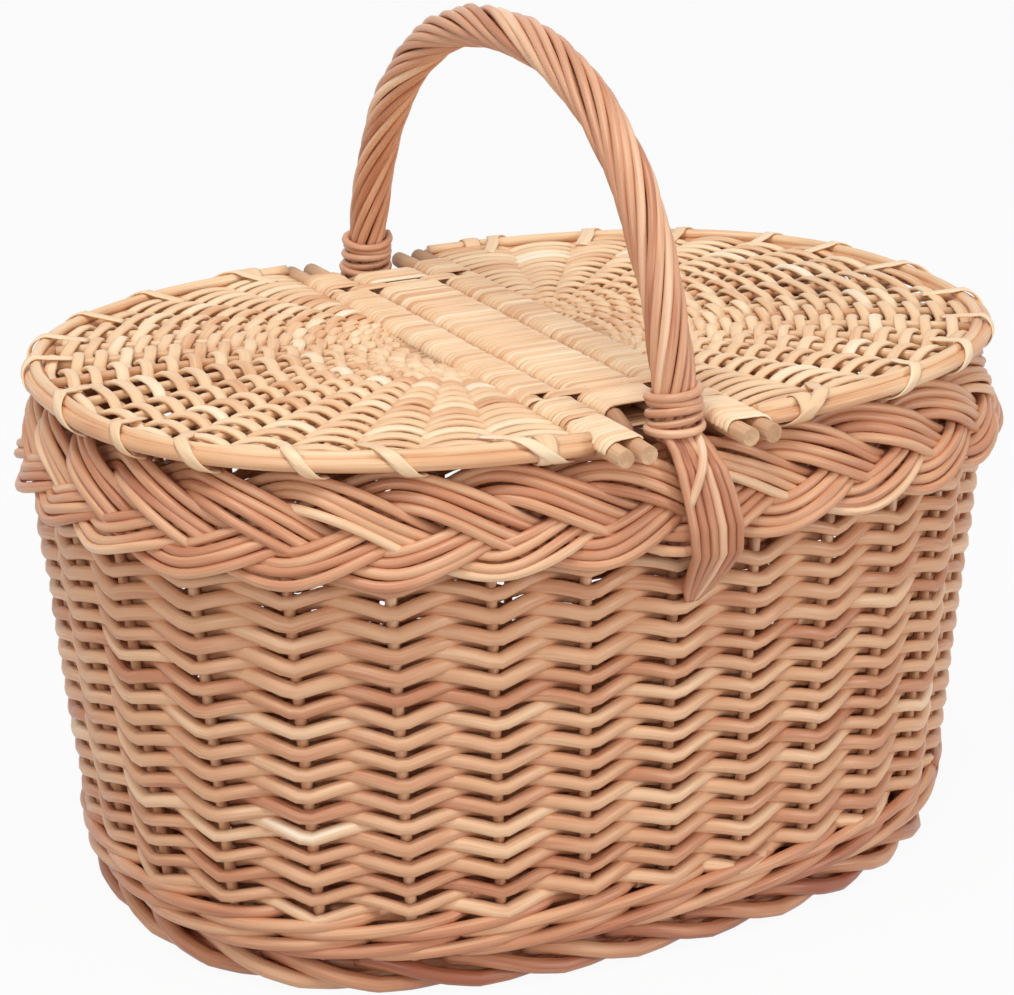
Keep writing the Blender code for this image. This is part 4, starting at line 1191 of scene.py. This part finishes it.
def make_core():
    run, _ = bow_run(BORDER_TOP, 0.006)
    heights = (FOOT_TOP + 0.0006, WALL_TOP * 0.5, WALL_TOP - 0.005)
    front = [wall_place(FRONT_FOOT, z) for z in heights]
    back = [wall_place(BACK_FOOT, z) for z in reversed(heights)]
    thick = [CORE_THIN] * len(front) + [CORE_THICK] * len(run) + [CORE_THIN] * len(back)
    core = rod(front + run + back, thick, 0.45)
    lay_rods("bow_core", [core], STICK_WOOD, "basket", ["handle_core"])


make_roping()
make_core()

# %% [markdown]
# At each foot the roping is bound with five coils of a thin rod, and below them six thin rods run
# down over the border like a pointed ear and are tucked into the weave. A pale one crosses them.
# Each stop of the ear's route says how far out and how far down it is, how wide the ear is spread
# there from 0 to 1, and how far it leans to the right.

# %% Lashings and ears of the bow
LASHING_COILS, LASHING_TURN = 5, 28
LASHING_ROD = 0.0036
LASHING_LOW, LASHING_HEIGHT = 0.0026, 0.0180
LASHING_RADIUS = ROPE_RADIUS - 0.0004 + LASHING_ROD * 0.38
LASHING_LOOSE = 0.0012
EAR_RODS, EAR_ROD = 6, 0.0041
EAR_HALF_WIDTH = 0.0104
EAR_TIP = (0.95, 0.86, 0.74, 0.60, 0.45)
EAR_ROUTE = [
    (-0.0060, 0.0085, 0.58, -0.0020), (-0.0005, 0.0040, 0.64, -0.0010), (0.0052, -0.0015, 0.76, 0.0010),
    (0.0098, -0.0090, 0.90, 0.0030), (0.0124, -0.0200, 1.00, 0.0055), (0.0152, -0.0330, 1.04, 0.0075),
    (0.0147, -0.0445, 0.98, 0.0085), (0.0085, -0.0545, 0.80, 0.0080), (0.0035, -0.0630, 0.52, 0.0065),
    (0.0012, -0.0690, 0.22, 0.0050)]


def make_lashing(end):
    run, step = bow_run(BORDER_TOP + 0.0004, 0.002)
    if end == "back":
        run = run[::-1]
    path = []
    steps = LASHING_COILS * LASHING_TURN
    for k in range(steps + 1):
        gone = LASHING_LOW + LASHING_HEIGHT * k / steps
        index = min(len(run) - 2, int(gone / step))
        along = (run[index + 1] - run[index]).normalized()
        point = run[index].lerp(run[index + 1], gone / step - index)
        angle = 2 * math.pi * k / LASHING_TURN
        loose = LASHING_LOOSE * max(0.0, 1.0 - k / (1.3 * LASHING_TURN))
        radius = LASHING_RADIUS + loose + 0.0003 * math.sin(3.1 * k / LASHING_TURN)
        lift = 0.0009 * math.sin(angle + 1.7 * (k // LASHING_TURN))
        path.append(point + round_bow(along, angle) * radius + along * lift)
    thick = [LASHING_ROD * (1.0 + 0.08 * math.sin(k / 9.0)) for k in range(len(path))]
    lay_rods(f"bow_binding_{end}", [rod(path, thick, 0.52)], BROWN, "basket",
             [f"handle_lashing_{end}"])


def ear_point(side, place, share, proud=0.0):
    """A point of the ear: its place down the route and its share across, from -1 to 1."""
    stops = range(len(EAR_ROUTE))
    out, drop, spread, lean = (float(np.interp(place, stops, column)) for column in zip(*EAR_ROUTE))
    y = BORDER_HALF_WIDTH + out + proud - 0.0006 * share * share
    return Vector((HANDLE_X + lean + share * EAR_HALF_WIDTH * spread, side * y, BORDER_TOP + drop))


def make_ear(end):
    pick = random.Random(97 if end == "front" else 101)
    side = -1.0 if end == "front" else 1.0
    rods = []
    places = [k / 4 for k in range(4 * (len(EAR_ROUTE) - 1) + 1)]
    for number in range(EAR_RODS):
        share = number / (EAR_RODS - 1) * 2 - 1
        path = [ear_point(side, place, share) for place in places]
        thick = [EAR_ROD] * (len(path) - len(EAR_TIP)) + [EAR_ROD * t for t in EAR_TIP]
        rods.append(rod(path, thick, rod_tone(pick, 0.36, 0.09)))
    path = [ear_point(side, 1.0 + 3.2 * k / 14, 0.95 - 1.95 * k / 14,
                      0.0032 * math.sin(math.pi * (k + 2) / 16)) for k in range(15)]
    rods.append(rod(path, EAR_ROD * 0.95, 0.86))
    lay_rods(f"bow_ear_{end}", rods, BROWN, "basket", [f"handle_ear_{end}"])


for foot in ("front", "back"):
    make_lashing(foot)
    make_ear(foot)

# %% [markdown]
# The bottom is an oval of weaving over sticks. It shows when the lids are up and from below. Three
# plain rings close the corner where the wall stands on it.

# %% Base
BASE_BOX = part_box("base_weave")
BASE_ROD = 0.0062
BASE_PITCH = BASE_ROD * 0.86
BASE_EDGE = 0.0040
BASE_RIBS = 41
BASE_WAVE = 0.0018
CORNER_RINGS = ((0.0100, 0.0245), (0.0095, 0.0300), (0.0085, 0.0355))


def make_base():
    """Rings woven in front of one rib and behind the next, down to a straight middle."""
    pick = random.Random(103)
    middle_z = (BASE_BOX[0].z + BASE_BOX[1].z) / 2
    length, width = BASE_BOX[1].x + BASE_EDGE, BASE_BOX[1].y + BASE_EDGE
    steps = BASE_RIBS * 4
    rods = []
    for ring in range(math.ceil(width / BASE_PITCH)):
        inset = (ring + 0.5) * BASE_PITCH
        path = []
        for k in range(steps):
            point = oval(2 * math.pi * k / steps, length - inset, max(0.002, width - inset))
            point.z = middle_z + math.sin(math.pi * (k / 4 + ring)) * BASE_WAVE
            path.append(point)
        rods.append(rod(path, BASE_ROD * pick.uniform(0.97, 1.04), rod_tone(pick, 0.40), closed=True))
    for inset, height in CORNER_RINGS:
        rods.append(rod(wall_ring(116, height, inset), BASE_ROD * 0.9, pick.gauss(0.42, 0.06), closed=True))
    lay_rods("base_rings", rods, BUFF, "basket", ["base_weave"])


def make_base_sticks():
    """Five sticks that carry the weaving of the bottom: two run the long way and three across."""
    pick = random.Random(107)
    rods = []
    names = [f"base_long_stick_{number}" for number in (1, 2)]
    names += [f"base_cross_stick_{number}" for number in (1, 2, 3)]
    for name in names:
        low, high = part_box(name)
        middle, half = (low + high) / 2, (high - low) / 2
        along = Vector((half.x, 0.0, 0.0)) if "long" in name else Vector((0.0, half.y, 0.0))
        path = [middle - along + along * (k / 4) for k in range(9)]
        rods.append(rod(path, high.z - low.z, pick.uniform(0.4, 0.7)))
    lay_rods("base_sticks", rods, STICK_WOOD, "basket", names, sides=12)


make_base()
make_base_sticks()
